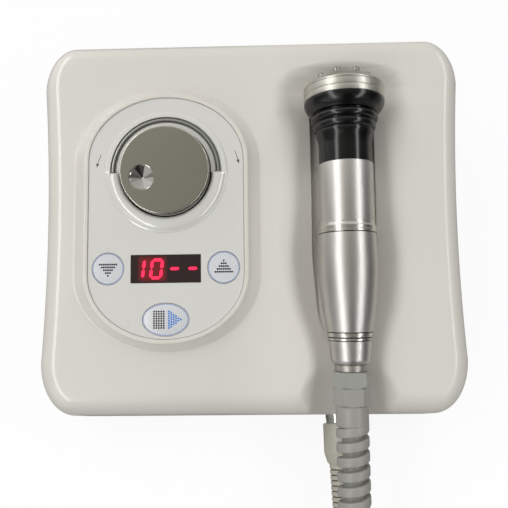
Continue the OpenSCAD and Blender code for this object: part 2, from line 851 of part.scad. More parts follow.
module fuse_drawer() {
    color("#2a2a2c") at_entry() translate([0, 0, slot_dz]) difference() {
        union() {
            translate([-slot_w / 2 + 0.2, entry_t - drawer_deep, -slot_h / 2 + 0.2])
                cube([slot_w - 0.4, drawer_deep + 1, slot_h - 0.4]);
        }
        translate([-slot_w / 2 + 1.4, entry_t - drawer_deep + 3, -slot_h / 2 + 1])
            cube([slot_w - 2.8, 7, slot_h]);
        translate([-4, entry_t + 0.2, slot_h / 2 - 1.6]) cube([8, 2, 2]);
    }
}

fuse_r = 2.6;

module fuse() {
    color("#cfd4d6") at_entry() translate([-10, entry_t - drawer_deep + 6.5, slot_dz - slot_h / 2 + 1 + fuse_r])
        rotate([0, 90, 0]) cylinder(r = fuse_r, h = 20, $fn = 48);
}

// ---------- front socket and plug ----------

socket_at = [62.5, 20];
socket_deep = 16;
sleeve_r = barrel_thread_r - socket_wall;

module at_socket() translate([socket_at[0], -half_d, socket_at[1]]) children();

module front_socket() {
    color("#c4c5c7") at_socket() difference() {
        union() {
            turned_y(socket_r, bezel_t, -bezel_t);
            turned_y(barrel_thread_r, socket_deep + SMALL, -SMALL);
        }
        turned_y(sleeve_r, socket_deep + bezel_t + 2, -bezel_t - 1);
    }
}

nut_t = 3;

module socket_nut() {
    color("#a9aaad") at_socket() difference() {
        translate([0, wall, 0]) rotate([-90, 0, 0]) cylinder(r = nut_r, h = nut_t, $fn = 6);
        turned_y(barrel_thread_r, nut_t + 2, wall - 1);
    }
}

contact_count = 4;
contact_r = 1;
contact_pcr = 3.4;

module contacts(r, len, y) {
    for (i = [0:contact_count - 1]) let (t = 45 + 360 * i / contact_count)
        translate([contact_pcr * cos(t), 0, contact_pcr * sin(t)]) turned_y(r, len, y);
}

insert_from = 8;

module socket_insert() {
    color("#222224") at_socket() difference() {
        turned_y(sleeve_r, socket_deep - insert_from, insert_from);
        contacts(contact_r + 0.05, 7, insert_from - 1);
    }
}

nose_sleeve = sleeve_r - 0.1;
nose_in = 7;
grip_y = -bezel_t - nose_len;

module plug_nose() {
    color("#c4c5c7") at_socket() difference() {
        union() {
            turned_y(nose_sleeve, nose_in + bezel_t + SMALL, -bezel_t - SMALL);
            turned_y(nose_r, nose_len, grip_y);
        }
        turned_y(nose_sleeve - 1, nose_in + bezel_t + 1, -bezel_t);
        contacts(contact_r, 30, -20);
    }
}

module plug_pins() {
    color("#c9a95a") at_socket() contacts(contact_r, nose_in + bezel_t + nose_len + 5, grip_y);
}

boot_len = 34;
boot_r = 8;
boot_end_r = 7;
grip_taper = 8;

module plug_body() {
    color("#aaa99c") at_socket() translate([0, grip_y, 0]) rotate([90, 0, 0]) rotate_extrude($fn = 64)
        polygon([[0, 0], [plug_r - 0.6, 0], [plug_r, 0.8], [plug_r, grip_len - grip_taper],
            [boot_r + 0.8, grip_len - 1], [boot_r, grip_len], [boot_end_r, grip_len + boot_len],
            [0, grip_len + boot_len]]);
}

// ---------- handpiece ----------

// Places along the handpiece, from its tail towards its head
hex1_v = -115.3;
hex2_v = -127.2;
dome_v = -141;
washer_v = -105;
tail_v = -100.3;
tail_ring_v = -84.5;
barrel_v = -78.4;
mid_v = -12.4;
tube_v = -4.4;
collar_v = 36.2;
head_v = 80.7;

module on_hand() on_face() translate([hand_x, 0, hand_w]) rotate([-90, 0, 0]) children();

module turned(points) on_hand() rotate_extrude($fn = 96) polygon(points);

rim_top_v = head_v + head_rim;
dome_ball = (pow(head_r - 1, 2) + head_dome * head_dome) / (2 * head_dome);

// The head's domed end as [radius, place], from its edge to the axis
function dome_arc(r, rise, foot) =
    let (ball = (r * r + rise * rise) / (2 * rise), half = asin(r / ball))
    [for (i = [0:8]) let (t = half * (1 - i / 8)) [ball * sin(t), foot + rise - ball * (1 - cos(t))]];

module head_cap() {
    color("#c8c8c5") difference() {
        turned(concat(
            [[head_r - 2.2, head_v + 2], [head_r - 2.2, head_v], [head_r, head_v], [head_r, head_v + 3],
             [head_r - 0.35, head_v + 3.4], [head_r - 0.35, head_v + 4], [head_r, head_v + 4.4],
             [head_r, head_v + 7.4], [head_r - 0.35, head_v + 7.8], [head_r - 0.35, head_v + 8.4],
             [head_r, head_v + 8.8], [head_r, rim_top_v - 1]],
            dome_arc(head_r - 1, head_dome, rim_top_v),
            reversed(dome_arc(head_r - 3.4, head_dome - 2, rim_top_v - 0.5)),
            [[head_r - 3.4, head_v + 2]]));
        on_hand() electrode_holes();
    }
}

electrode_foot = rim_top_v - 1;

function electrode_top(r) = rim_top_v + head_dome - dome_ball + sqrt(dome_ball * dome_ball - r * r);

module electrode_ring() {
    for (i = [0:electrode_count - 1]) let (t = 360 * (i + 0.5) / electrode_count)
        translate([electrode_pcr * cos(t), electrode_pcr * sin(t), 0]) children();
}

module electrode_holes() {
    electrode_ring() disc(electrode_r, head_dome + 8, electrode_foot);
    disc(electrode_r, head_dome + 8, electrode_foot);
}

module electrode(top) {
    disc(electrode_r, top - electrode_foot, electrode_foot);
    intersection() {
        translate([0, 0, top]) sphere(r = electrode_r, $fn = 48);
        disc(electrode_r + 1, electrode_r + 2, top - 1);
    }
}

module head_electrodes() {
    color("#9c9c98") on_hand() {
        electrode_ring() electrode(electrode_top(electrode_pcr) - 0.8);
        electrode(electrode_top(0) - 1);
    }
}

// The collar's bellows as [radius beyond its tube, place], from the tube to the head
collar_rings = [[0, 49], [0.9, 54.8], [1.6, 58], [1.4, 59.3], [2.6, 60.4], [3.2, 62.4], [2.8, 64.7],
    [2.6, 65.2], [4.2, 66.2], [4.9, 68.4], [4.4, 70.4], [3.6, 71], [5.3, 71.9], [7.5, 74.2],
    [8.9, 76.4], [9.6, 78.6]];

module neck_collar() {
    r = collar_r;
    color("#151517") turned(concat(
        [[r - hand_wall - 1, collar_v - 6], [r - hand_wall, collar_v - 6],
         [r - hand_wall, collar_v], [r, collar_v]],
        [for (c = collar_rings) [r + c[0], c[1]]],
        [[head_r, head_v - 1], [head_r, head_v], [r + 3, head_v], [r - hand_wall - 1, 71]]));
}

module front_tube() {
    color("#c9c9c7") turned([[tube_r - hand_wall - 0.6, tube_v], [tube_r, tube_v], [tube_r, collar_v - 0.5],
        [tube_r - 0.5, collar_v], [collar_r - hand_wall + 0.05, collar_v],
        [collar_r - hand_wall + 0.05, collar_v - 8], [tube_r - hand_wall - 0.6, collar_v - 8]]);
}

module mid_ring() {
    inner = tube_r - hand_wall - 0.6;
    color("#b4b4b2") turned([[inner, mid_v], [mid_r - 0.7, mid_v], [mid_r - 0.7, mid_v + 0.3],
        [mid_r, mid_v + 0.7], [mid_r, mid_v + 2], [mid_r - 0.4, mid_v + 2.3], [mid_r, mid_v + 2.6],
        [mid_r, mid_v + 4.9], [mid_r - 0.5, mid_v + 5.4], [tube_r, tube_v], [inner, tube_v]]);
}

module rear_barrel() {
    r = barrel_r;
    color("#c9c9c7") turned([[barrel_end_r - hand_wall, barrel_v], [barrel_end_r, barrel_v],
        [r - 3.4, -70], [r - 1.9, -60], [r - 0.8, -50], [r - 0.1, -40], [r, -34], [r - 0.15, -26],
        [r - 0.8, mid_v], [r - 0.8 - hand_wall, mid_v], [r - hand_wall, -34], [r - 1.9 - hand_wall, -60]]);
}

module tail_ring() {
    r = barrel_end_r - 0.1;
    inner = tail_r - hand_wall - 1;
    color("#b4b4b2") turned([[inner, tail_ring_v], [r - 0.6, tail_ring_v], [r - 0.2, tail_ring_v + 0.5],
        [r - 0.2, tail_ring_v + 1.8], [r - 0.7, tail_ring_v + 2.3], [r, tail_ring_v + 2.8],
        [r, barrel_v - 0.6], [r - 0.5, barrel_v], [inner, barrel_v]]);
}

module tail_cap() {
    r = tail_r;
    color("#c9c9c7") turned([[gland_neck_r, tail_v], [r - 4.4, tail_v], [r - 2.4, tail_v + 0.9],
        [r - 1.3, tail_v + 3], [r - 0.2, tail_ring_v], [r - hand_wall - 1, tail_ring_v],
        [r - hand_wall - 1.5, tail_v + 3],
        [gland_neck_r, tail_v + 3]]);
}

carrier_r = tube_r - hand_wall - 0.6;
carrier_front = 24.5;
carrier_back = -10;
spine_back = -46;
spine_w = 22;
spine_t = 2;
disc_t = 3;
hand_board_w = 18;

module hand_board() {
    translate([-hand_board_w / 2, -spine_t / 2 - board_t, spine_back + 2])
        cube([hand_board_w, board_t, carrier_front - spine_back - 2]);
}

module core_carrier() {
    color("#dcd9cf") on_hand() difference() {
        union() {
            disc(carrier_r, disc_t, carrier_front);
            disc(carrier_r, disc_t, carrier_back);
            translate([-spine_w / 2, -spine_t / 2, spine_back])
                cube([spine_w, spine_t, carrier_front - spine_back + 1]);
        }
        hand_board();
    }
}

module handpiece_board() {
    color("#2f6b45") on_hand() hand_board();
}

function hex_r(flats) = flats / 2 / cos(30);
gland_bore = cord_d / 2 + 3;
stud_r = gland_bore + 1.6;
gland_neck_r = 7.2;
cord_hole = cord_d / 2 + 0.4;

module gland_washer() {
    color("#2a2a2b") on_hand() difference() {
        disc(10.8, tail_v - washer_v, washer_v);
        disc(gland_neck_r, tail_v - washer_v + 2, washer_v - 1);
    }
}

module hexagon(flats, from_v, len, turn) {
    translate([0, 0, from_v]) rotate([0, 0, turn]) cylinder(r = hex_r(flats), h = len, $fn = 6);
}

module gland_body() {
    color("#98999a") on_hand() difference() {
        union() {
            hexagon(gland_af, hex1_v, washer_v - hex1_v, -8);
            disc(stud_r, hex1_v - hex2_v + 4 + SMALL, hex2_v - 4);
            disc(gland_neck_r, tail_v - washer_v + 6 + SMALL, washer_v - SMALL);
        }
        disc(gland_bore, 14, hex2_v - 5);
        disc(cord_hole, 50, hex2_v - 5);
    }
}

module gland_seal() {
    color("#3a3a3a") on_hand() difference() {
        disc(gland_bore, 9, hex2_v - 4);
        disc(cord_d / 2, 11, hex2_v - 5);
    }
}

module gland_nut() {
    color("#98999a") on_hand() difference() {
        union() {
            hexagon(nut_af, hex2_v, hex1_v - hex2_v, -25);
            disc(spiral_r, hex2_v - dome_v + SMALL, dome_v);
            disc(spiral_r, spiral_len + SMALL, dome_v - spiral_len);
        }
        disc(stud_r + 0.1, hex1_v - hex2_v + 5, hex2_v - 4.1);
        disc(spiral_r - spiral_wall, spiral_len + 1, dome_v - spiral_len - 1);
        disc(cord_hole, 20, dome_v - 1);
    }
}

// ---------- cord ----------

// Route of the stretch from the gland to the coil, and from the coil to the plug
lead_route = [
    [66.9, -125.7, 62.4], [66.9, -143, 58.7], [66.9, -160, 55.1], [66.9, -180, 50.8],
    [66.9, -200, 46.6], [67.4, -212, 43.2], [69.5, -226, 36.6], [73.5, -240, 27.8],
    [79, -254, 18.6], [86, -268, 10.8], [93.5, -283, 6], [100.5, -299, 4.2],
    [106.5, -316, 4], [111, -333, 4], [112.5, -342, 4]
];
tail_route = [
    [62.5, -200.3, 20], [62.2, -214, 19], [59.8, -228, 15.6], [55, -242, 11.2], [48.6, -256, 7.4],
    [41.6, -270, 5], [34.4, -285, 4.2], [27.6, -301, 5], [21.6, -318, 7.6], [18, -333, 10.6], [17, -342, 11.8]
];
coil_at = [64.7, -376];
coil_mid_r = 44;
coil_turns_across = 2;
coil_layers = 2;
tube_sides = 10;

function unit(v) = v / norm(v);

function tangent(path, i) = unit(path[min(i + 1, len(path) - 1)] - path[max(i - 1, 0)]);

// Rings of a round tube along a route
function tube_rings(path, r) =
    [for (i = [0:len(path) - 1])
        let (t = tangent(path, i), side = unit(cross(t, [0, 0, 1])), up = cross(side, t))
        [for (j = [0:tube_sides - 1]) let (a = 360 * j / tube_sides)
            path[i] + r * (cos(a) * side + sin(a) * up)]];

module cord_tube(path) loft(reversed(tube_rings(path, cord_d / 2)));

module cord_lead() color("#a5a5a3") cord_tube(lead_route);

module cord_tail() color("#a5a5a3") cord_tube(tail_route);

module cord_coil() {
    half = coil_turns_across * cord_d / 2;
    stub = lead_route[len(lead_route) - 1][1] - coil_at[1];
    color("#a5a5a3") translate([coil_at[0], coil_at[1], 0]) {
        rotate_extrude($fn = 96) polygon([[coil_mid_r - half, 1], [coil_mid_r - half + 1, 0],
            [coil_mid_r + half - 1, 0], [coil_mid_r + half, 1],
            [coil_mid_r + half, coil_layers * cord_d - 1], [coil_mid_r + half - 1, coil_layers * cord_d],
            [coil_mid_r - half + 1, coil_layers * cord_d], [coil_mid_r - half, coil_layers * cord_d - 1]]);
        translate([coil_mid_r + cord_d / 2, 0, cord_d / 2]) turned_y(cord_d / 2, stub, 0);
        translate([-coil_mid_r - cord_d / 2, 0, cord_d * 1.5]) turned_y(cord_d / 2, stub, 0);
    }
}

upper_shell();
base_tray();
rubber_feet();
base_screws();
panel_overlay();
dial_ring();
level_arc();
display_window();
display_module();
down_key();
up_key();
start_key();
key_switches();
down_stem();
up_stem();
start_stem();
dial_cap();
dial_knob();
dial_shaft();
encoder_rotor();
encoder_body();
press_plunger();
control_board();
board_screws();
buzzer();
ribbon_cable();
power_board();
power_screws();
transformer();
capacitors();
heat_sink();
mains_inlet();
inlet_pins();
inlet_screws();
power_rocker();
fuse_drawer();
fuse();
front_socket();
socket_nut();
socket_insert();
head_cap();
head_electrodes();
neck_collar();
front_tube();
mid_ring();
rear_barrel();
tail_ring();
tail_cap();
core_carrier();
handpiece_board();
gland_washer();
gland_body();
gland_seal();
gland_nut();
plug_nose();
plug_pins();
plug_body();
cord_lead();
cord_coil();
cord_tail();
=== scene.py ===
from math import acos, ceil, cos, hypot, pi, radians, sin, sqrt, tan

import bmesh
import bpy
import numpy as np
from mathutils import Matrix, Vector
from mathutils.geometry import delaunay_2d_cdt


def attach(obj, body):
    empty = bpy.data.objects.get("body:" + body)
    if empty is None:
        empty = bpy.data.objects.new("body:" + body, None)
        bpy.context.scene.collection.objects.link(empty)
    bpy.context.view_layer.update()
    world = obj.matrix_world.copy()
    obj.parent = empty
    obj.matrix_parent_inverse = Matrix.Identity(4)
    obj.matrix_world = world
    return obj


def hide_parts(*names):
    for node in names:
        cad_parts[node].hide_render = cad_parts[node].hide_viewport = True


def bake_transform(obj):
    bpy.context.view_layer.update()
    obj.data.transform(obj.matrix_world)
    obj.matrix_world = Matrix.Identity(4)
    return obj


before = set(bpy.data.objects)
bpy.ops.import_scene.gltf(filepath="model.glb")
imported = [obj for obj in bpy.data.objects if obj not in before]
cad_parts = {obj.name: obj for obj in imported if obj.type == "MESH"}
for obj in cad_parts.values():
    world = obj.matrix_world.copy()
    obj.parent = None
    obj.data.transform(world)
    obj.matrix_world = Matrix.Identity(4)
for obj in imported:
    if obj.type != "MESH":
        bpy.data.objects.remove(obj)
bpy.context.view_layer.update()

scene = bpy.context.scene
scene.view_settings.view_transform = "Standard"
MM = 0.001

# ---------- the frame's numbers, in millimetres, as in part.scad ----------

SLOPE = radians(12.0)
CS, SN, TN = cos(SLOPE), sin(SLOPE), tan(SLOPE)
HALF_D = 131.5
CENTRE_Z = 54.0 + HALF_D * TN
SPLIT_Z = 6.5
SIDE_ROLL, FRONT_ROLL, BACK_ROLL = 14.5, 14.0, 14.0
CORNER_X, FRONT_CORNER, BACK_CORNER = 25.0, 36.0, 32.5
Y_FRONT, Y_BACK = -HALF_D + FRONT_CORNER, HALF_D - BACK_CORNER
PANEL_U, OVAL_V = -58.8, 2.3
OVAL_HW, OVAL_HH, OVAL_END = 57.6, 88.1, 48.0
FLANK_X, FLANK_V, OVAL_H = 9.0, 6.2, 8.0
HAND_U, HAND_W = 66.9, 7.0
SCOOP_W = 33.0
# the panel: its top, the seat under the overlay, the keys, the window, the ring and the dial
TOP, SEAT = 7.0, 5.8
KEY_R, KEY_X, KEY_V = 11.0, 40.2, -33.8
START_A, START_B, START_V = 16.0, 11.2, -69.2
WIN_V, WIN_W, WIN_H = -34.2, 48.6, 19.4
RING_IN, RING_OUT = 31.8, 43.2
DIAL_R, DIAL_TOP, DIAL_FOOT = 30.9, 14.8, 8.3


def shift(x, y, z):
    return Matrix.Translation((x * MM, y * MM, z * MM))


def turn(axis, degrees):
    return Matrix.Rotation(radians(degrees), 4, axis)


AT_FACE = shift(0, 0, CENTRE_Z) @ turn("X", 12)
AT_PANEL = AT_FACE @ shift(PANEL_U, 0, 0)
AT_DIAL = AT_PANEL @ shift(0, 34, 0)
AT_HAND = AT_FACE @ shift(HAND_U, 0, HAND_W) @ turn("X", -90)
AT_PLUG = shift(62.5, -HALF_D, 20) @ turn("X", 90)
AT_ENTRY = shift(-95, HALF_D, 46)
ROOT = "console"


def face_to_row(u, v, w):
    """Points of the sloping face's frame in the row frame, still in mm."""
    u, v, w = np.broadcast_arrays(np.asarray(u, float), v, w)
    return np.stack([u, v * CS - w * SN, CENTRE_Z + v * SN + w * CS], -1)


def axes_at(x, z, place):
    """The matrix of an object with these X and Z axes at a place."""
    m = Matrix((x, z.cross(x), z)).transposed().to_4x4()
    m.translation = place
    return m


def add_object(name, data, matrix):
    ob = bpy.data.objects.new(name, data)
    scene.collection.objects.link(ob)
    ob.matrix_world = matrix
    return ob


def add_camera():
    """The photograph's camera, as worked out in the sloping face's frame."""
    data = bpy.data.cameras.new("camera")
    data.sensor_width, data.lens = 36.0, 38.976
    data.clip_start, data.clip_end = 0.01, 50.0
    axes = ((0.9996, -0.0122, -0.0251), (0.0143, 0.9962, 0.0865), (0.0240, -0.0868, 0.9959))
    _, up, back = (Vector((x, y * CS - z * SN, y * SN + z * CS)).normalized() for x, y, z in axes)
    right = up.cross(back).normalized()
    place = axes_at(right, back, Vector((11.5, -136.58, 446.52)) * MM)
    scene.camera = add_object("camera", data, place)


add_camera()

# ---------- mesh helpers ----------

def polar(r, a, *z):
    """The point at radius r and angle a, with a height where one is given."""
    return (r * cos(a), r * sin(a), *z)


def unit(v):
    return v / np.linalg.norm(v)


def rounded(points, radius=0.0, steps=4, closed=False):
    """A polyline with its corners rounded; a point's third number is its own radius."""
    pts = [np.array(p[:2], float) for p in points]
    out = []
    for i, p in enumerate(pts):
        r = points[i][2] if len(points[i]) > 2 else radius
        if (not closed and i in (0, len(pts) - 1)) or r <= 0:
            out.append(tuple(p))
            continue
        da, db = pts[i - 1] - p, pts[(i + 1) % len(pts)] - p
        ua, ub = unit(da), unit(db)
        ang = acos(max(-1.0, min(1.0, float(ua @ ub))))
        if ang > pi - 0.03 or ang < 0.02:
            out.append(tuple(p))
            continue
        d = min(r / tan(ang / 2), 0.48 * np.linalg.norm(da), 0.48 * np.linalg.norm(db))
        c = p + unit(ua + ub) * (d * tan(ang / 2) / sin(ang / 2))
        v0, v1, th = p + ua * d - c, p + ub * d - c, pi - ang
        for s in (k / steps for k in range(steps + 1)):
            q = (sin((1 - s) * th) * v0 + sin(s * th) * v1) / sin(th)
            out.append(tuple(c + q))
    return out


def spline(points, step):
    """Catmull-Rom through points of any dimension, with spans about step long."""
    def between(a, b, ta, tb, t):
        return (tb - t) / (tb - ta) * a + (t - ta) / (tb - ta) * b
    p = np.asarray(points, float)
    ext = np.vstack([2 * p[0] - p[1], p, 2 * p[-1] - p[-2]])
    out = []
    for four in zip(ext, ext[1:], ext[2:], ext[3:]):
        t = [0.0, *np.cumsum([max(np.linalg.norm(b - a), 1e-9) ** 0.5
                              for a, b in zip(four, four[1:])])]
        n = max(1, ceil(np.linalg.norm(four[2] - four[1]) / step))
        for s in (t[1] + (t[2] - t[1]) * k / n for k in range(n)):
            a = [between(four[i], four[i + 1], t[i], t[i + 1], s) for i in range(3)]
            b = [between(a[i], a[i + 1], t[i], t[i + 2], s) for i in range(2)]
            out.append(between(*b, t[1], t[2], s))
    out.append(p[-1])
    return np.array(out)


class Shape:
    """Vertices and faces gathered before they become one mesh."""

    def __init__(self):
        self.verts, self.faces, self.slots = [], [], []

    def add(self, verts, faces, slot=0):
        base = len(self.verts)
        self.verts += [tuple(map(float, v)) for v in verts]
        self.faces += [tuple(base + int(i) for i in f) for f in faces]
        self.slots += [slot] * len(faces)
        return self

    def paint(self, test):
        """Give the faces whose corners pass the test the second material."""
        for i, f in enumerate(self.faces):
            if test(np.array([self.verts[k] for k in f])):
                self.slots[i] = 1
        return self

    def lathe(self, profile, seg=96, closed=False, slot=0, centre=(0.0, 0.0)):
        """Turn (radius, height) points about the Z axis through centre."""
        verts, rings, faces = [], [], []
        for r, z in profile:
            count = 1 if abs(r) < 1e-6 else seg
            rings.append(range(len(verts), len(verts) + count))
            verts += [(centre[0] + x, centre[1] + y, z) for x, y in
                      (polar(r, 2 * pi * i / seg) for i in range(count))]
        for a, b in list(zip(rings, rings[1:])) + ([(rings[-1], rings[0])] if closed else []):
            for i in range(seg if len(a) + len(b) > 2 else 0):
                j = (i + 1) % seg
                corners = a[i % len(a)], a[j % len(a)], b[j % len(b)], b[i % len(b)]
                faces.append(tuple(dict.fromkeys(corners)))
        return self.add(verts, faces, slot)

    def loft(self, rings, closed=True, cap=False, slot=0):
        """Join equal rings of 3D points, with a face over each end where cap is set."""
        n, last = len(rings[0]), len(rings) - 1
        faces = [(i * n + j, i * n + (j + 1) % n, (i + 1) * n + (j + 1) % n, (i + 1) * n + j)
                 for i in range(last) for j in range(n if closed else n - 1)]
        if cap:
            faces += [tuple(reversed(range(n))), tuple(last * n + j for j in range(n))]
        return self.add([p for r in rings for p in r], faces, slot)

    def tube(self, path, r, seg):
        """A round tube through 3D points."""
        p = np.asarray(path, float)
        t = np.gradient(p, axis=0)
        t /= np.linalg.norm(t, axis=1)[:, None]
        n = unit(np.cross(t[0], (0.0, 0.0, 1.0)))
        rings = []
        for at, way in zip(p, t):
            n = unit(n - way * (n @ way))
            b = np.cross(way, n)
            rings.append([tuple(at + x * n + y * b) for x, y in
                          (polar(r, a) for a in 2 * np.pi * np.arange(seg) / seg)])
        return self.loft(rings, cap=True)

    def prism(self, outline, z0, z1, bevel=0.0):
        """A convex outline lifted from z0 to z1, its top edge rounded where bevel is set."""
        pts = np.asarray(outline, float)
        c = pts.mean(0)
        size = np.abs(pts - c).max(0)
        rings = [[(*p, z0) for p in pts]]
        for a in (0.0, pi / 4, pi / 2) if bevel else ():
            inset = (size - bevel * (1 - cos(a))) / size
            rings.append([(*(c + (p - c) * inset), z1 - bevel * (1 - sin(a))) for p in pts])
        if not bevel:
            rings.append([(*p, z1) for p in pts])
        return self.loft(rings, cap=True)


def piece(name, shape, mats, body, at=Matrix.Identity(4), stands_for=(), sharp=30.0,
          flip=True, normals=None, own=False):
    """A Blender piece from a Shape, placed by at, riding on a body."""
    me = bpy.data.meshes.new(name)
    me.from_pydata((np.asarray(shape.verts, float) * MM).tolist(), [], shape.faces)
    mats = mats if isinstance(mats, list) else [mats]
    for m in mats:
        me.materials.append(m)
    if len(mats) > 1:
        me.polygons.foreach_set("material_index", shape.slots)
    me.polygons.foreach_set("use_smooth", [True] * len(me.polygons))
    bm = bmesh.new()
    bm.from_mesh(me)
    if flip:
        bmesh.ops.recalc_face_normals(bm, faces=bm.faces)
    for e in bm.edges:
        if len(e.link_faces) == 2:
            e.smooth = e.calc_face_angle(0.0) < radians(sharp)
    bm.to_mesh(me)
    bm.free()
    if normals is not None:
        me.normals_split_custom_set_from_vertices(normals.tolist())
    me.update()
    ob = add_object(name, me, at)
    if not own:
        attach(ob, body)
    if stands_for:
        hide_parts(stands_for)
    return ob


def circle(cx, cy, r, n=48, r2=None):
    """A circle, or an oval whose half height is r2."""
    r2 = r if r2 is None else r2
    return [(cx + r * x, cy + r2 * y) for x, y in
            (polar(1.0, 2 * pi * i / n) for i in range(n))]


def rounded_box(cx, cy, hw, hh, r):
    corners = ((-1, -1), (1, -1), (1, 1), (-1, 1))
    return rounded([(cx + hw * a, cy + hh * b) for a, b in corners], r, closed=True)


def inside(points, poly):
    """Even-odd test of many points in one polygon."""
    px, py = points.T
    hit = np.zeros(len(px), bool)
    for (a, b), (c, d) in zip(poly, np.roll(poly, -1, 0)):
        if b != d:
            hit ^= ((b > py) != (d > py)) & (px < (c - a) * (py - b) / (d - b) + a)
    return hit


def hex_grid(x0, x1, y0, y1, step):
    rows = []
    h = step * sqrt(3) / 2
    for j in range(int((y1 - y0) / h) + 1):
        xs = np.arange(x0 + (step / 2 if j % 2 else 0), x1, step)
        rows.append(np.stack([xs, np.full(len(xs), y0 + j * h)], 1))
    return np.vstack(rows)


def fill(loops, extra=()):
    """Triangles inside the first loop and outside the rest: points, faces and their origins."""
    edges, at = [], 0
    for lp in loops:
        edges += [(at + i, at + (i + 1) % len(lp)) for i in range(len(lp))]
        at += len(lp)
    pts = [Vector(p) for p in np.vstack([*loops, *extra]).tolist()]
    pts, _, faces, origins, _, _ = delaunay_2d_cdt(pts, edges, [], 0, 1e-6)
    pts = np.array([tuple(p) for p in pts])
    tri = np.array([f for f in faces if len(f) == 3])
    mid = pts[tri].mean(1)
    ok = inside(mid, loops[0])
    for lp in loops[1:]:
        ok &= ~inside(mid, lp)
    return pts, tri[ok], origins


# ---------- materials ----------

def lin(r, g, b):
    """A screen colour from 0 to 255 as a linear one."""
    return (*(c / 12.92 if c <= 0.04045 else ((c + 0.055) / 1.055) ** 2.4
              for c in (r / 255.0, g / 255.0, b / 255.0)), 1.0)


def shade(rgb, k):
    return (*(min(1.0, c * k) for c in rgb[:3]), 1.0)


class Tree:
    """A node tree with short ways to add nodes and to join them."""

    def __init__(self, tree):
        self.tree = tree

    def feed(self, socket, value):
        """Link an output into a socket, or set a constant on it."""
        if hasattr(value, "is_linked"):
            self.tree.links.new(value, socket)
        else:
            socket.default_value = value

    def node(self, kind, sockets=(), **values):
        """A node with these properties, its sockets fed by their names or numbers."""
        n = self.tree.nodes.new("ShaderNode" + kind)
        for k, v in values.items():
            setattr(n, k, v)
        for k, v in dict(sockets).items():
            self.feed(n.inputs[k], v)
        return n

    def split(self, vector):
        return self.node("SeparateXYZ", {0: vector}).outputs

    def calc(self, operation, *values):
        return self.node("Math", enumerate(values), operation=operation).outputs[0]

    def ramp(self, value, low, high, at=(0.3, 0.7), **how):
        return self.node("MapRange", {"Value": value, "From Min": at[0], "From Max": at[1],
                                      "To Min": low, "To Max": high}, **how).outputs["Result"]

    def mix(self, factor, a, b, kind="MIX"):
        n = self.node("Mix", {"Factor": factor}, data_type="RGBA", blend_type=kind)
        for socket, value in zip([s for s in n.inputs if s.type == "RGBA"], (a, b)):
            self.feed(socket, value)
        return [s for s in n.outputs if s.type == "RGBA"][0]

    def mix_shader(self, *values):
        return self.node("MixShader", enumerate(values)).outputs[0]


class Surface(Tree):
    """A material's tree, with noises in the object's own coordinates."""

    def __init__(self, name):
        self.mat = bpy.data.materials.new(name)
        self.mat.use_nodes = True
        super().__init__(self.mat.node_tree)
        self.bsdf = self.tree.nodes["Principled BSDF"]
        self.coords = self.node("TexCoord").outputs["Object"]

    def noise(self, scale, detail=2.0, rough=0.5):
        return self.node("TexNoise", {"Scale": scale, "Detail": detail, "Roughness": rough,
                                      "Vector": self.coords}).outputs["Fac"]

    def cloudy(self, rgb, vary, scale):
        """The colour, a little paler and darker in patches."""
        return self.mix(self.ramp(self.noise(scale, 3.0), 0.0, 1.0), shade(rgb, 1 - vary),
                        shade(rgb, 1 + vary))

    def bump(self, height, distance):
        n = self.node("Bump", {"Strength": 1.0, "Distance": distance, "Height": height})
        self.feed(self.bsdf.inputs["Normal"], n.outputs["Normal"])

    def put(self, **values):
        for k, v in values.items():
            self.feed(self.bsdf.inputs[k.replace("_", " ")], v)


def plastic(name, rgb, rough=0.4, vary=0.03, grain=900.0, depth=0.00002, coat=0.0, patch=14.0,
            spec=0.5):
    """Moulded plastic: slight cloudiness, a fine texture and uneven gloss."""
    n = Surface(name)
    n.put(Base_Color=n.cloudy(lin(*rgb), vary, patch),
          Roughness=n.ramp(n.noise(patch * 5, 4.0), rough * 0.9, rough * 1.1),
          Coat_Weight=coat, Coat_Roughness=0.06, Specular_IOR_Level=spec)
    n.bump(n.noise(grain), depth)
    return n.mat


def metal(name, rgb, rough=0.25, vary=0.02, depth=0.0, smudge=0.01):
    """Metal: a blasted grain where depth is above 0, and the faintest change of gloss."""
    n = Surface(name)
    n.put(Base_Color=n.cloudy(lin(*rgb), vary, 40.0), Metallic=1.0,
          Roughness=n.ramp(n.noise(90.0, 4.0), max(0.02, rough - smudge), rough + smudge))
    if depth:
        n.bump(n.noise(2500.0, 2.0, 0.6), depth)
    return n.mat


def shell_material():
    """Moulded white: glossy at the rolled edges, duller along the cradle."""
    n = Surface("shell_white")
    away = n.calc("ABSOLUTE", n.calc("SUBTRACT", n.split(n.coords)[0], HAND_U * MM))
    gloss = n.ramp(away, 0.0, 1.0, (0.040, 0.095), interpolation_type="SMOOTHERSTEP")
    n.put(Base_Color=n.cloudy(lin(218, 215, 208), 0.012, 14.0),
          Roughness=n.ramp(gloss, 0.6, 0.29, (0.0, 1.0)),
          Coat_Weight=n.ramp(gloss, 0.0, 0.7, (0.0, 1.0)), Coat_Roughness=0.06)
    n.bump(n.noise(2600.0), 0.000003)
    return n.mat


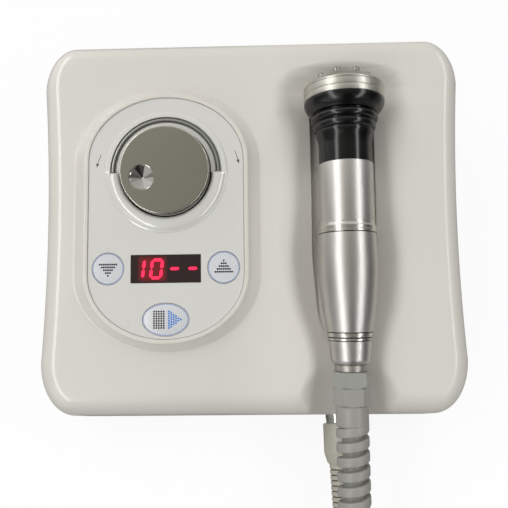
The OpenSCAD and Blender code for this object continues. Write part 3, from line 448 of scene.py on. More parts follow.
def window_material():
    """Smoked window with a faint red bloom round the lit figures."""
    n = Surface("smoke_window")

    def past(socket, centre, half):
        """How far past half from the centre, squared."""
        off = n.calc("ABSOLUTE", n.calc("SUBTRACT", socket, centre))
        return n.calc("POWER", n.calc("MAXIMUM", n.calc("SUBTRACT", off, half), 0.0), 2.0)
    x, y, _ = n.split(n.coords)
    far = n.calc("SQRT", n.calc("ADD", past(x, -0.0092, 0.0074), past(y, -0.0342, 0.0062)))
    fade = n.ramp(far, 0.32, 0.0, (0.0, 0.0034))
    n.put(Base_Color=n.mix(n.ramp(n.noise(60.0, 3.0), 0.0, 1.0), lin(34, 20, 22), lin(44, 28, 30)),
          Roughness=n.ramp(n.noise(300.0), 0.1, 0.16), Coat_Weight=0.5, Coat_Roughness=0.04,
          Emission_Color=n.mix(fade, (0.0, 0.0, 0.0, 1.0), lin(255, 20, 58)),
          Emission_Strength=0.5)
    return n.mat


def led_material():
    n = Surface("led_red")
    red = lin(255, 30, 74)
    n.put(Base_Color=n.mix(n.ramp(n.noise(900.0, 1.0), 0.92, 1.0), (0.02, 0.0, 0.0, 1.0), red),
          Emission_Color=red, Emission_Strength=1.2, Roughness=0.4)
    return n.mat


WHITE, WINDOW, LED = shell_material(), window_material(), led_material()
OVERLAY = plastic("overlay_white", (214, 213, 210), 0.3, 0.01, 3200.0, 0.000004)
RING = plastic("ring_white", (219, 218, 214), 0.1, 0.01, 2600.0, 0.000002, coat=1.0)
KEY = plastic("key_white", (212, 214, 218), 0.28, 0.01, 3000.0, 0.000004, coat=0.3)
KEY_BLUE = plastic("key_outline_blue", (96, 126, 190))
DOT = plastic("dot_black", (12, 10, 12), 0.45, 0.05)
DOT_BROWN = plastic("dot_brown", (34, 24, 24), 0.45, 0.05)
DOT_BLUE = plastic("dot_blue", (36, 122, 204), 0.45, 0.05)
INK = plastic("print_grey", (44, 44, 48), 0.5, 0.05)
ARC = metal("arc_silver", (168, 168, 165), 0.34, 0.03)
ARC_GROOVE_SHADE = plastic("arc_groove_painted_shade", (84, 84, 82), 0.5, 0.05)
# painted shade and a painted dark reflection: black for the gap round the dial and for the band
# under its rim
SHADE_BLACK = plastic("painted_shade_and_reflection_black", (8, 8, 8), 0.7, 0.05, spec=0.1)
DIMPLE = metal("dimple_chrome", (172, 170, 166), 0.09)
MIRROR = metal("dial_chrome", (205, 203, 196), 0.07, smudge=0.005)
CHROME = metal("chrome", (214, 214, 212), 0.1)
SATIN = metal("satin_aluminium", (202, 200, 197), 0.34, depth=0.00006)
HEAD = metal("head_silver", (194, 192, 184), 0.38, depth=0.000004)
RING_METAL = metal("ring_bright", (208, 206, 200), 0.27, depth=0.000004)
GROOVE_SHADE_METAL = metal("painted_groove_shade_metal", (84, 83, 80))
ELECTRODE = metal("electrode_silver", (150, 148, 142), 0.3, 0.04)
GLAND = plastic("gland_grey", (154, 155, 150), 0.3, 0.03, 2200.0, 0.000006)
SPIRAL = plastic("spiral_grey", (154, 153, 149), 0.4, 0.03, 2200.0, 0.000006)
WASHER = metal("washer_grey", (182, 180, 174), 0.42)
BLACK = plastic("collar_black", (5, 5, 6), 0.2, 0.1, 1800.0, 0.000002)
PLUG = plastic("plug_grey", (178, 176, 165), 0.42, 0.03, 1800.0, 0.00001)
SLIT_SHADE = plastic("slit_painted_shade", (92, 88, 74), 0.6, 0.05)
CORD = plastic("cord_grey", (160, 160, 157), 0.45, 0.03, 1400.0, 0.000012)
MARK = plastic("mark_white", (232, 232, 232), 0.4, 0.02)

# CAD nodes that keep their own shape and only take a material
for nodes, material in (
        ("base_tray", plastic("base_grey", (196, 194, 188), 0.5, 0.03, 1500.0)),
        ("rubber_feet gland_seal", plastic("rubber_black", (30, 30, 31), 0.62, 0.08, 1500.0)),
        ("mains_inlet fuse_drawer",
         plastic("inlet_black", (24, 24, 26), 0.42, 0.08, 1500.0, 0.000015)),
        ("power_rocker", plastic("rocker_red", (176, 30, 28), 0.25, 0.05, coat=0.3)),
        ("inlet_pins front_socket", CHROME),
        ("base_screws dial_shaft board_screws power_screws inlet_screws socket_nut",
         metal("screw_steel", (150, 151, 154), 0.3)),
        ("down_stem up_stem start_stem press_plunger", metal("stem_brass", (206, 178, 108), 0.3)),
        ("plug_pins", metal("pin_gold", (212, 180, 104), 0.22)),
        ("encoder_body control_board power_board handpiece_board",
         plastic("board_green", (42, 100, 66), 0.35, 0.15, patch=60.0)),
        ("display_module key_switches encoder_rotor buzzer socket_insert",
         plastic("switch_black", (40, 40, 43), 0.45, 0.08)),
        ("dial_knob", plastic("knob_white", (226, 224, 218))),
        ("core_carrier", plastic("carrier_plastic", (218, 214, 204), 0.5)),
        ("ribbon_cable", plastic("ribbon_grey", (180, 180, 182), 0.45)),
        ("transformer", metal("core_iron", (120, 100, 74), 0.45, 0.15, smudge=0.05)),
        ("capacitors", plastic("cap_blue", (36, 50, 84), 0.3, 0.06)),
        ("heat_sink", metal("sink_aluminium", (160, 163, 168), 0.35)),
        ("fuse", plastic("fuse_glass", (205, 212, 214), 0.1))):
    for node in nodes.split():
        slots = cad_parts[node].data.materials
        slots.clear()
        slots.append(material)

# ---------- the cord, from the gland to the coil and back to the plug ----------

LEAD = [
    (66.9, -125.7, 62.4), (66.9, -143, 58.7), (66.9, -160, 55.1), (66.9, -180, 50.8),
    (66.9, -200, 46.6), (67.4, -212, 43.2), (69.5, -226, 36.6), (73.5, -240, 27.8),
    (79, -254, 18.6), (86, -268, 10.8), (93.5, -283, 6), (100.5, -299, 4.2),
    (106.5, -316, 4), (111, -333, 4),
]
TAIL = [
    (62.5, -200.3, 20), (62.2, -214, 19), (59.8, -228, 15.6), (55, -242, 11.2), (48.6, -256, 7.4),
    (41.6, -270, 5), (34.4, -285, 4.2), (27.6, -301, 5), (21.6, -318, 7.6), (18, -333, 10.6),
]
COIL_X, COIL_Y = 64.7, -376.0


def ease(s):
    s = np.clip(s, 0.0, 1.0)
    return s * s * (3 - 2 * s)


def coil_points():
    """Three and a half turns in two layers, a diameter apart, clockwise seen from above."""
    out = []
    per = 40
    for t in (i / per for i in range(int(3.5 * per) + 1)):
        r = 48 - 8 * ease((t - 0.85) / 0.15) + 8 * ease((t - 2.85) / 0.15)
        x, y = polar(r, -2 * pi * t)
        out.append((COIL_X + x, COIL_Y + y, 4 + 8 * ease((t - 1.85) / 0.15)))
    return out


def build_cord():
    route = [*LEAD, (112.7, -350, 4), (112.7, -362, 4), *coil_points(),
             (16.7, -362, 12), (16.8, -350, 12), *reversed(TAIL)]
    line = spline(route, 3.0)
    ob = piece("handpiece_cord", Shape().tube(line, 4.0, 20), CORD, None,
               own=True, sharp=60)
    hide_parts("cord_lead", "cord_coil", "cord_tail")
    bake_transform(ob)
    return ob, line * MM, float(np.linalg.norm(np.diff(line, axis=0), axis=1).sum() * MM)


cord_piece, cord_line, cord_length = build_cord()

# ---------- upper shell ----------

# the cradle's mouth: half width and place along the face
SCOOP = [
    (12, 111.5), (24, 109.5), (33, 105.5), (40, 100.5), (43.3, 94), (43.4, 84), (43.3, 79),
    (41.2, 74), (38.6, 69), (36.8, 62), (36.2, 50), (36.2, 14), (38, 0), (40.2, -15), (40.2, -28),
    (38, -43), (34, -62), (28, -79), (25.4, -88), (24.4, -97), (24.4, -103),
    (26, -108), (29.5, -114), (32.5, -121), (34.5, -129), (36, -140), (36, -160),
]
# the hole behind the power entry's flange
ENTRY_X, ENTRY_Z = (-110.0, -80.0), (22.0, 70.0)


def smooth_curve(xs, ys):
    """Monotone cubic through the points, straight beyond its ends."""
    xs, ys = np.asarray(xs, float), np.asarray(ys, float)
    h = np.diff(xs)
    d = np.diff(ys) / h
    m = np.zeros(len(xs))
    m[0], m[-1] = d[0], d[-1]
    w1, w2 = 2 * h[1:] + h[:-1], h[1:] + 2 * h[:-1]
    with np.errstate(divide="ignore", invalid="ignore"):
        mean = (w1 + w2) / (w1 / d[:-1] + w2 / d[1:])
    m[1:-1] = np.where(d[:-1] * d[1:] > 0, mean, 0.0)

    def f(x):
        x = np.asarray(x, float)
        i = np.clip(np.searchsorted(xs, x) - 1, 0, len(xs) - 2)
        t = (x - xs[i]) / h[i]
        t2, t3 = t * t, t * t * t
        y = ((2 * t3 - 3 * t2 + 1) * ys[i] + (t3 - 2 * t2 + t) * h[i] * m[i]
             + (-2 * t3 + 3 * t2) * ys[i + 1] + (t3 - t2) * h[i] * m[i + 1])
        y = np.where(x < xs[0], ys[0] + (x - xs[0]) * m[0], y)
        return np.where(x > xs[-1], ys[-1] + (x - xs[-1]) * m[-1], y)
    return f


scoop_r2 = smooth_curve(*zip(*sorted((v, h * h + SCOOP_W ** 2) for h, v in SCOOP)))


def mouth_half(v):
    """Half the width of the cradle's mouth."""
    return np.sqrt(np.maximum(scoop_r2(v) - SCOOP_W ** 2, 0.0))


def slot_half(v):
    """Half the width of the narrow channel right under the handpiece."""
    return np.interp(v, [-90.0, -60.0, -24.0, 101.0, 110.0, 113.0],
                     [17.0, 20.0, 22.4, 22.4, 6.0, -3.0])


def face_height(u, v):
    """Height of the shell's top over the sloping face: soft shoulders, then a channel."""
    off = np.asarray(u, float) - HAND_U
    scoop = SCOOP_W - np.sqrt(np.maximum(scoop_r2(v) - off * off, 1.0))
    blend, lift, slope = (np.interp(v, [-100.0, -75.0, -10.0], row) for row in
                          ((2.5, 4.2, 10.0), (0.6, 1.5, 4.0), (0.85, 0.66, 0.30)))
    q = lift - scoop
    run = np.where(q > blend, q, np.maximum(q + blend, 0.0) ** 2 / (4 * blend))
    soft = -(slope * run + 0.012 * run * run)
    edge = np.interp(v, [-95.0, -70.0], [12.0, 1.8])
    return soft + np.minimum(scoop - soft, 0.0) * ease((slot_half(v) + 0.9 - np.abs(off)) / edge)


def row_to_face(x, y):
    """(v, w) of the shell's top over a point of the plan."""
    v = y / CS
    for _ in range(40):
        w = face_height(x, v)
        v = (y + w * SN) / CS
    return v, w


def half_w(y):
    return 152.0 - 3.2 * (1 - (y / 95.5) ** 2)


def stations():
    """Places round the plan: on a front or back line, round a corner, or along a side."""
    n, m = 26, 56
    arc = [pi / 2 * i / n for i in range(n + 1)]
    side = [Y_FRONT + (Y_BACK - Y_FRONT) * i / m for i in range(1, m)]
    out, x = [], -127.0
    while (x := x + (1.4 if 18 < x < 116 else 5.0)) < 127.0:
        out.append(("line", x, -1))
    out += [("corner", 1, -1, a) for a in reversed(arc)]
    out += [("side", 1, y) for y in side]
    out += [("corner", 1, 1, a) for a in arc]
    for x in (127.0 - 254.0 * i / 48 for i in range(1, 48)):
        x = min((x, *ENTRY_X), key=lambda e: abs(e - x) - (1.5 if e in ENTRY_X else 0.0))
        out.append(("line", x, 1))
    out += [("corner", -1, 1, a) for a in reversed(arc)]
    out += [("side", -1, y) for y in reversed(side)]
    return out + [("corner", -1, -1, a) for a in arc]


def plan_point(place, k, skin):
    """x, y and roll of a place, its edges drawn in by k of their roll."""
    kind, where, end, *angle = place
    if kind == "line":
        # the front edge's roll is tighter where the cradle runs out over it
        roll = FRONT_ROLL - 8.0 * ease(-face_height(where, -131.0) / 7.0) if end < 0 else BACK_ROLL
        return where, end * (HALF_D - skin - (roll - skin) * k), roll
    inset = skin + (SIDE_ROLL - skin) * k
    if kind == "side":
        return where * (half_w(end) - inset), end, SIDE_ROLL
    y0, ry, roll = ((Y_FRONT, FRONT_CORNER, FRONT_ROLL) if end < 0
                    else (Y_BACK, BACK_CORNER, BACK_ROLL))
    x, _ = polar(CORNER_X - inset, angle[0])
    _, y = polar(ry - skin - (roll - skin) * k, angle[0])
    s2 = sin(angle[0]) ** 2
    return (where * (half_w(y0) - CORNER_X + x), y0 + end * y,
            SIDE_ROLL * (1 - s2) + roll * s2)


def plan(places, k, skin=0.0):
    return np.array([plan_point(p, k, skin) for p in places])


def oval_loop(inset_x, inset_v, n=40, m=10):
    """The raised oval's outline, anticlockwise: two arcs of n steps, two sides of m."""
    hw, end = OVAL_HW - inset_x, OVAL_END - inset_v
    hh = OVAL_HH - inset_v - end
    pts = []
    for s in (1, -1):
        for i in range(n + 1):
            x, y = polar(1.0, pi * i / n + (0.0 if s > 0 else pi))
            pts.append((hw * x, s * hh + end * y))
        pts += [(-s * hw, s * hh * (1 - 2 * i / m)) for i in range(1, m)]
    return pts


def flank_profile():
    """Flank, crest and inner wall of the raised oval as (inset across, inset up-down, height)."""
    flank = [(1.0, 0.0), (0.93, 0.02), (0.86, 0.07), (0.72, 0.19), (0.5, 0.38), (0.3, 0.57),
             (0.14, 0.74), (0.03, 0.91)]
    out = [(-FLANK_X * s, -FLANK_V * s, OVAL_H * h) for s, h in spline(flank, 0.05)]
    for a in (pi / 2 * i / 5 for i in range(6)):
        inset = 1.1 * (1 - cos(a))
        out.append((inset - 0.15, inset - 0.1, OVAL_H - 0.72 * (1 - sin(a))))
    out.append((1.8, 1.8, OVAL_H))
    for a in (pi / 2 * i / 4 for i in range(5)):
        inset = 2.45 + 0.55 * sin(a)
        out.append((inset, inset, OVAL_H - 0.55 * (1 - cos(a))))
    return out + [(3.0, 3.0, 6.6), (3.0, 3.0, SEAT), (9.0, 9.0, SEAT)]


def face_points(edge, foot):
    """Points over the sloping face between its edge and the oval's foot, closest at bends."""
    v = np.arange(-133.0, 112.1, 1.3)
    mouth_steps = (-14.0, -12.4, -10.9, -9.5, -8.2, -7.0, -5.8, -4.7, -3.6, -2.6, -1.7, -0.8, 0.1,
                   0.9, 1.7, 2.6, 3.5, 4.5, 5.6, 6.7, 7.8, 8.8, 9.7, 10.7)
    slot_steps = (-2.2, -1.5, -0.9, -0.45, 0.0, 0.45, 0.9, 1.5, 2.2)
    band = [np.stack([HAND_U + s * (half + step)[half > least], v[half > least]], 1)
            for half, least, steps in ((mouth_half(v), 3, mouth_steps),
                                       (slot_half(v), 4, slot_steps))
            for step in steps for s in (-1, 1)]
    band = np.vstack(band)
    fine = hex_grid(20.0, 114.0, -133.0, 116.0, 1.6)
    x, y = fine.T
    off = np.abs(x - HAND_U)
    near = (np.abs(off - mouth_half(y)) < 11.2) | (np.abs(off - slot_half(y)) < 2.7)
    fine = fine[~(near & (y < 104.0)) & ((y < 99.6) | (y > 115.6) | (x < 29.4) | (x > 104.4))]
    head_end = hex_grid(30.0, 104.0, 100.0, 115.0, 0.9)
    coarse = hex_grid(-150.0, 150.0, -133.0, 133.0, 4.2)
    coarse = coarse[(coarse[:, 0] < 18.5) | (coarse[:, 0] > 115.5) | (coarse[:, 1] > 117.5)]
    pts = np.vstack([band[band[:, 1] < 100.0], fine, head_end, coarse])
    pts = pts[inside(pts, edge) & ~inside(pts, foot)]
    # keep clear of the borders and thin out points that lie on each other
    borders = np.vstack([edge, foot])
    clear = [np.hypot(*(borders - p).T).min() > 0.8 for p in pts]
    pts = pts[clear]
    cells = {}
    for i, cell in enumerate(np.round(pts / 0.35).astype(int).tolist()):
        cells.setdefault(tuple(cell), i)
    return pts[sorted(cells.values())]


def face_normals(u, v, e=0.02):
    """Exact normals of the face in the row frame, so that its gloss is smooth."""
    du = (face_height(u + e, v) - face_height(u - e, v)) / (2 * e)
    dv = (face_height(u, v + e) - face_height(u, v - e)) / (2 * e)
    nf = np.stack([-du, -dv, np.ones(len(u))], 1)
    x, y, z = (nf / np.linalg.norm(nf, axis=1)[:, None]).T
    return np.stack([x, y * CS - z * SN, y * SN + z * CS], 1)


def build_shell():
    places = stations()
    n = len(places)

    def level(at, z):
        return np.stack([at[:, 0], at[:, 1], np.broadcast_to(z, n)], 1)

    def top_z(at, fall):
        v, w = row_to_face(at[:, 0], at[:, 1])
        return v, CENTRE_Z + v * SN + w * CS - fall
    # the inner return under the wall, the wall with the entry's heights, then the roll
    inner, outer = plan(places, 0.0, 3.0), plan(places, 0.0)
    x, y, roll = outer.T
    foot_z = SPLIT_Z + 0.35
    top = top_z(outer, roll)[1]
    back = top[np.argmax(y - np.abs(x + 95.0) * 0.001)]
    low, high = ((z - foot_z) / (back - foot_z) for z in ENTRY_Z)
    rings = [level(inner, 13.0), level(inner, SPLIT_Z), level(plan(places, 0.0, 0.35), SPLIT_Z),
             level(outer, foot_z)]
    rings += [level(outer, foot_z + (top - foot_z) * s) for s in (0.04, low, 0.45, high, 0.9, 1.0)]
    for a in np.radians(range(6, 91, 7)):
        at = plan(places, 1 - cos(a))
        v, z = top_z(at, roll * (1 - sin(a)))
        rings.append(level(at, z))
    edge = np.stack([at[:, 0], v], 1)
    shape = Shape().loft(rings)
    x, y, z = np.array(shape.verts)[np.array(shape.faces)].mean(axis=1).T
    wall = ~((y > HALF_D - 0.1) & (x > ENTRY_X[0]) & (x < ENTRY_X[1])
             & (z > ENTRY_Z[0]) & (z < ENTRY_Z[1]))
    shape.faces = [f for f, stays in zip(shape.faces, wall) if stays]
    # the raised oval, then the sloping face between it and the roll
    last, base = (len(rings) - 1) * n, len(shape.verts)
    profile = flank_profile()
    loops = [np.array(oval_loop(a, b)) + (PANEL_U, OVAL_V) for a, b, _ in profile]
    shape.loft([face_to_row(*lp.T, h) for lp, (_, _, h) in zip(loops, profile)])
    foot, start = loops[0], len(shape.verts)
    u, v = face_points(edge, foot).T
    shape.add(face_to_row(u, v, face_height(u, v)), [])
    _, tri, origins = fill([edge, foot], [np.stack([u, v], 1)])
    mesh_index = [*range(last, last + n), *range(base, base + len(foot)),
                  *range(start, start + len(u))]
    shape.faces += [tuple(mesh_index[origins[i][0]] for i in t) for t in tri.tolist()
                    if all(origins[i] for i in t)]
    normals = np.zeros((len(shape.verts), 3))
    normals[start:] = face_normals(u, v)
    piece("shell", shape, WHITE, ROOT, stands_for="upper_shell", sharp=38,
          flip=False, normals=normals)


build_shell()

# ---------- the panel ----------

def build_overlay():
    """A flat sheet with holes, its top edges broken by a small chamfer."""
    e = 0.15
    gap = 0.35 + e
    loops = [[(x, y + OVAL_V) for x, y in oval_loop(3.2 + e, 3.2 + e)],
             circle(-KEY_X, KEY_V, KEY_R + gap, 64), circle(KEY_X, KEY_V, KEY_R + gap, 64),
             circle(0, START_V, START_A + gap, 64, START_B + gap),
             rounded_box(0, WIN_V, WIN_W / 2 + 0.15 + e, WIN_H / 2 + 0.15 + e, 0.5),
             circle(0, 34, 6.6)]
    loops = [np.array(lp) for lp in loops]
    pts, tri, _ = fill(loops)
    shape = Shape().add([(x, y, TOP) for x, y in pts], tri)
    for i, lp in enumerate(loops):
        way = np.roll(lp, -1, 0) - np.roll(lp, 1, 0)
        way /= np.linalg.norm(way, axis=1)[:, None]
        out = np.stack([way[:, 1], -way[:, 0]], 1) * (-e if i else e)
        rings = [[(*p, z) for p in lp + out * share]
                 for share, z in ((0, TOP), (0.7, TOP - e * 0.3), (1, TOP - e), (1, SEAT))]
        shape.loft(rings if i else [r[::-1] for r in rings])
    piece("overlay", shape, OVERLAY, ROOT, AT_PANEL, "panel_overlay", flip=False)


def build_window():
    shape = Shape().prism(rounded_box(0, WIN_V, WIN_W / 2, WIN_H / 2, 0.4), SEAT, TOP, 0.15)
    piece("window", shape, WINDOW, ROOT, AT_PANEL, "display_window", sharp=12)


def build_figures():
    """A seven-segment 1, 0 and two dashes, as bars with pointed ends."""
    lit = {"0": "abcdef", "1": "bc", "-": "g"}
    hw, hh, half, gap, skew = 3.5, 6.2, 1.05, 0.2, 0.12
    ends = {"a": (-hw, hh, hw, hh), "b": (hw, 0, hw, hh), "c": (hw, -hh, hw, 0),
            "d": (-hw, -hh, hw, -hh), "e": (-hw, -hh, -hw, 0), "f": (-hw, 0, -hw, hh),
            "g": (-hw, 0, hw, 0)}
    shape = Shape()
    for i, figure in enumerate("10--"):
        for p, q in (np.reshape(ends[s], (2, 2)) for s in lit[figure]):
            d = unit(q - p)
            p, q, n = p + d * gap, q - d * gap, np.array([-d[1], d[0]])
            outline = (p, p + (d - n) * half, q - (d + n) * half, q, q - (d - n) * half,
                       p + (d + n) * half)
            shape.prism([(-18.9 + 12.55 * i + x + skew * y, WIN_V + y) for x, y in outline],
                        TOP - 0.1, TOP + 0.03)
    piece("figures", shape, LED, ROOT, AT_PANEL)


def build_arrows():
    """Two small printed arrows that show which way the dial turns."""
    shape = Shape()
    for path in (((-45.9, 46.6), (-47.4, 43.0), (-48.2, 40.6), (-48.9, 37.6)),
                 ((48.5, 48.2), (50.0, 44.4), (50.7, 41.8), (51.4, 38.8))):
        *line, tip = [np.array(p) for p in path]
        for p, q in zip(line, [*line[1:], tip]):
            d = unit(q - p)
            n = np.array([-d[1], d[0]])
            outline = ([p - n, q, p + n] if q is tip
                       else [p + n * 0.2, q + n * 0.2, q - n * 0.2, p - n * 0.2])
            shape.prism(outline, TOP - 0.1, TOP + 0.02)
    piece("dial_arrows", shape, INK, ROOT, AT_PANEL)


def build_ring():
    """Ring round the dial: flat above, a rounded crescent below, with its inner wall painted black
    as the gap's shade.
    """
    seg = 160
    inner = [(31.25, 0.0), (31.25, 0.12), (RING_IN, 0.14), (RING_IN, 0.85), (RING_IN + 0.15, 1.0)]
    channel = [(33.4, 1.0), (34.72, 1.0), (34.76, 0.25), (35.5, 0.25), (36.5, 0.25), (37.5, 0.25),
               (38.5, 0.25), (39.24, 0.25), (39.28, 1.0), (40.2, 1.0), (41.0, 1.0), (41.8, 0.98),
               (42.4, 0.9)]
    bulge = [(32.3, 1.0), (32.7, 2.0), (33.4, 2.75), (34.3, 3.1), (35.5, 3.2), (36.8, 3.1),
             (38.0, 2.85), (39.0, 2.5), (39.9, 2.1), (40.7, 1.65), (41.3, 1.2), (41.7, 0.8),
             (42.0, 0.6)]
    outer = [(42.9, 0.5), (RING_OUT, 0.3), (RING_OUT, 0.0)]
    rings = []
    for a in (2 * pi * i / seg for i in range(seg)):
        middle = bulge if sin(a) < -0.015 else channel
        rings.append([polar(r, a, TOP + z) for r, z in inner + middle + outer])
    shape = Shape().loft([*rings, rings[0]], closed=False)
    # painted shade: the gap's faces take the black, wider on the lower half where the gap lies in
    # shade
    shape.paint(lambda c: np.hypot(c[:, 0], c[:, 1]).max()
                < RING_IN + (0.55 if c[:, 1].sum() < 0 else 0.05))
    piece("dial_surround", shape, [RING, SHADE_BLACK], ROOT, AT_DIAL, "dial_ring")


def build_arc():
    """Level arc: a rounded silver band between two fine grooves, whose faces are painted dark as
    their shade.
    """
    n = 72
    prof = [(34.8, 0.3), (34.8, 1.08), (34.95, 1.16), (35.3, 1.16), (35.38, 1.08), (35.4, 0.6),
            (36.1, 0.6), (36.15, 0.95), (36.35, 1.25), (37.1, 1.4), (37.85, 1.25), (38.05, 0.95),
            (38.1, 0.6), (38.75, 0.6), (38.8, 1.1), (38.95, 1.16), (39.12, 1.16), (39.2, 1.08),
            (39.2, 0.3)]
    m = len(prof)
    verts, bright, dark = [], [], []
    for i in range(n + 1):
        verts += [(r * cos(pi * i / n), max(0.02, r * sin(pi * i / n)), TOP + z)
                  for r, z in prof]
        for k in range(m - 1 if i < n else 0):
            # painted shade: the grooves' low faces take the dark material
            groove = 0 < k < m - 2 and min(prof[k][1], prof[k + 1][1]) < 0.7
            (dark if groove else bright).append((i * m + k, i * m + k + 1, (i + 1) * m + k + 1,
                                                 (i + 1) * m + k))
    bright += [range(m), [n * m + k for k in reversed(range(m))]]
    shape = Shape().add(verts, bright).add(verts, dark, 1)
    piece("dial_arc", shape, [ARC, ARC_GROOVE_SHADE], ROOT, AT_DIAL, "level_arc")


def dots(name, places, mat, body, r, seg):
    """Small round printed dots on a key."""
    shape = Shape()
    for at in places:
        shape.lathe([(r, TOP - 0.05), (r, TOP + 0.02), (0, TOP + 0.03)], seg, centre=at)
    piece(name, shape, mat, body, AT_PANEL)


def build_keys():
    for side, name in ((-1, "down"), (1, "up")):
        body, at = name + "_key", (side * KEY_X, KEY_V)
        prof = rounded([(0.0, TOP), (KEY_R, TOP, 0.35), (KEY_R, 3.1), (KEY_R + 1, 3.1, 0.1),
                        (KEY_R + 1, 1.9, 0.1), (0.0, 1.9)])
        piece("key_" + name, Shape().lathe(prof, 72, centre=at), KEY, body, AT_PANEL,
              body)
        line = [(KEY_R - 0.75, TOP - 0.05), (KEY_R - 0.75, TOP + 0.02), (KEY_R - 0.35, TOP + 0.02),
                (KEY_R - 0.35, TOP - 0.05)]
        piece("key_%s_line" % name, Shape().lathe(line, 72, closed=True, centre=at), KEY_BLUE,
              body, AT_PANEL)
        rows = [(1 + 2 * row if side > 0 else 9 - 2 * row,
                 KEY_V + (2 - row) * 1.95 + 0.9 * side) for row in range(5)]
        dots("key_%s_dots" % name, [(side * KEY_X + (k - (count - 1) / 2) * 1.44, y)
                                    for count, y in rows for k in range(count)],
             DOT, body, 0.7, 10)


def build_start_key():
    def oval(grow, z):
        return [(*p, z) for p in circle(0, START_V, START_A + grow, 72, START_B + grow)]
    key = [oval(*at) for at in ((1.0, 1.9), (1.0, 3.1), (0.0, 3.1), (0.0, TOP - 0.35),
                                (-0.1, TOP - 0.12), (-0.35, TOP))]
    piece("key_start", Shape().loft(key, cap=True), KEY, "start_key", AT_PANEL,
          "start_key")
    line = [oval(*at) for at in ((-0.8, TOP - 0.05), (-0.8, TOP + 0.02), (-0.4, TOP + 0.02),
                                 (-0.4, TOP - 0.05))]
    piece("key_start_line", Shape().loft([*line, line[0]]), KEY_BLUE, "start_key", AT_PANEL)
    dots("key_start_dots", [(-8.0 + i * 1.68, START_V + (j - 3.5) * 1.6)
                            for i in range(5) for j in range(8)], DOT_BROWN, "start_key", 0.68, 12)
    dots("key_start_play", [(2.3 + i * 1.62, START_V + (k - (count - 1) / 2) * 1.6)
                            for i, count in enumerate((8, 7, 5, 4, 2, 1)) for k in range(count)],
         DOT_BLUE, "start_key", 0.68, 12)


def build_dial():
    """Mirror-topped dial: rolled rim, flat top and a finger dimple like a shallow cone."""
    seg, low = 128, DIAL_TOP - 1.2
    shape = Shape()
    # painted shade and reflection: the black foot stands for the gap's shade, the black band under
    # the rolled rim for a dark reflection; the chrome skirt between them is the dial's own
    shape.lathe(rounded([(0, 10.8), (29.3, 10.8), (29.3, DIAL_FOOT, 0.2),
                         (30.7, DIAL_FOOT, 0.3), (30.7, 9.4)], steps=3), seg, slot=1)
    shape.lathe(rounded([(30.7, 9.4), (31.1, 9.4, 0.2), (31.1, 11.2, 0.3), (30.6, 11.2)], steps=3),
                seg)
    shape.lathe([(30.6, 11.2), (30.6, low - 0.1), (DIAL_R, low)], seg, slot=1)
    shape.lathe(rounded([(DIAL_R, low), (DIAL_R, DIAL_TOP, 0.9), (DIAL_R - 1.6, DIAL_TOP)],
                        steps=5), seg)
    (dx, dy), r = polar(16.3, radians(199)), 8.6
    extra = hex_grid(-29, 29, -29, 29, 3.0)
    x, y = extra.T
    extra = extra[(np.hypot(x, y) < 28.4) & (np.hypot(x - dx, y - dy) > r + 1.0)]
    pts, tri, _ = fill([np.array(circle(0, 0, DIAL_R - 1.6, seg)),
                        np.array(circle(dx, dy, r + 0.35, 64))], [extra])
    shape.add([(*p, DIAL_TOP) for p in pts], tri)
    piece("dial_top", shape, [MIRROR, SHADE_BLACK], "dial", AT_DIAL, "dial_cap")
    # the dimple is a shallow cone of flat facets, each leaning a little differently
    facets, per, tip = 14, 4, DIAL_TOP - 4.3
    slope = (DIAL_TOP - 0.6 - tip) / (r - 0.5)
    lean = [1.0, 0.9, 1.02, 0.94, 1.0, 0.96, 1.0, 0.94, 1.0, 1.0, 0.97, 1.0, 0.95, 1.02, 1.0]
    rings = [[polar(rho, 2 * pi * i / (facets * per), z) for i in range(facets * per)]
             for rho, z in ((r + 0.35, DIAL_TOP), (r + 0.05, DIAL_TOP - 0.12),
                            (r - 0.2, DIAL_TOP - 0.4))]
    for rho in (r - 0.5, r * 0.5, 0.02):
        ends = [np.array(polar(rho, 2 * pi * q / facets, tip + slope * rho * tilt))
                for q, tilt in enumerate(lean)]
        rings.append([a + (b - a) * k / per for a, b in zip(ends, ends[1:]) for k in range(per)])
    cup = Shape().loft([[(dx + x, dy + y, z) for x, y, z in ring] for ring in rings])
    piece("dial_dimple", cup, DIMPLE, "dial", AT_DIAL, sharp=4, flip=False)


build_overlay()
build_window()
build_figures()
build_arrows()
build_ring()
build_arc()
build_keys()
build_start_key()
build_dial()

# ---------- handpiece ----------

def turned(name, profile, mat, node, seg=128, sharp=32, shaded_bands=()):
    """A turned part; the faces between each listed pair of heights are painted dark as the shade in
    grooves and under ring edges.
    """
    shape = Shape().lathe(profile, seg, closed=True)
    shape.paint(lambda c: any(a < c[:, 2].mean() < b for a, b in shaded_bands))
    piece(name, shape, [mat, GROOVE_SHADE_METAL] if shaded_bands else mat, "handpiece", AT_HAND, node,
          sharp=sharp)


def dome_height(r, top=102.7, foot_r=27.0, rise=11.5):
    ball = (foot_r * foot_r + rise * rise) / (2 * rise)
    return top - ball + sqrt(ball * ball - r * r)


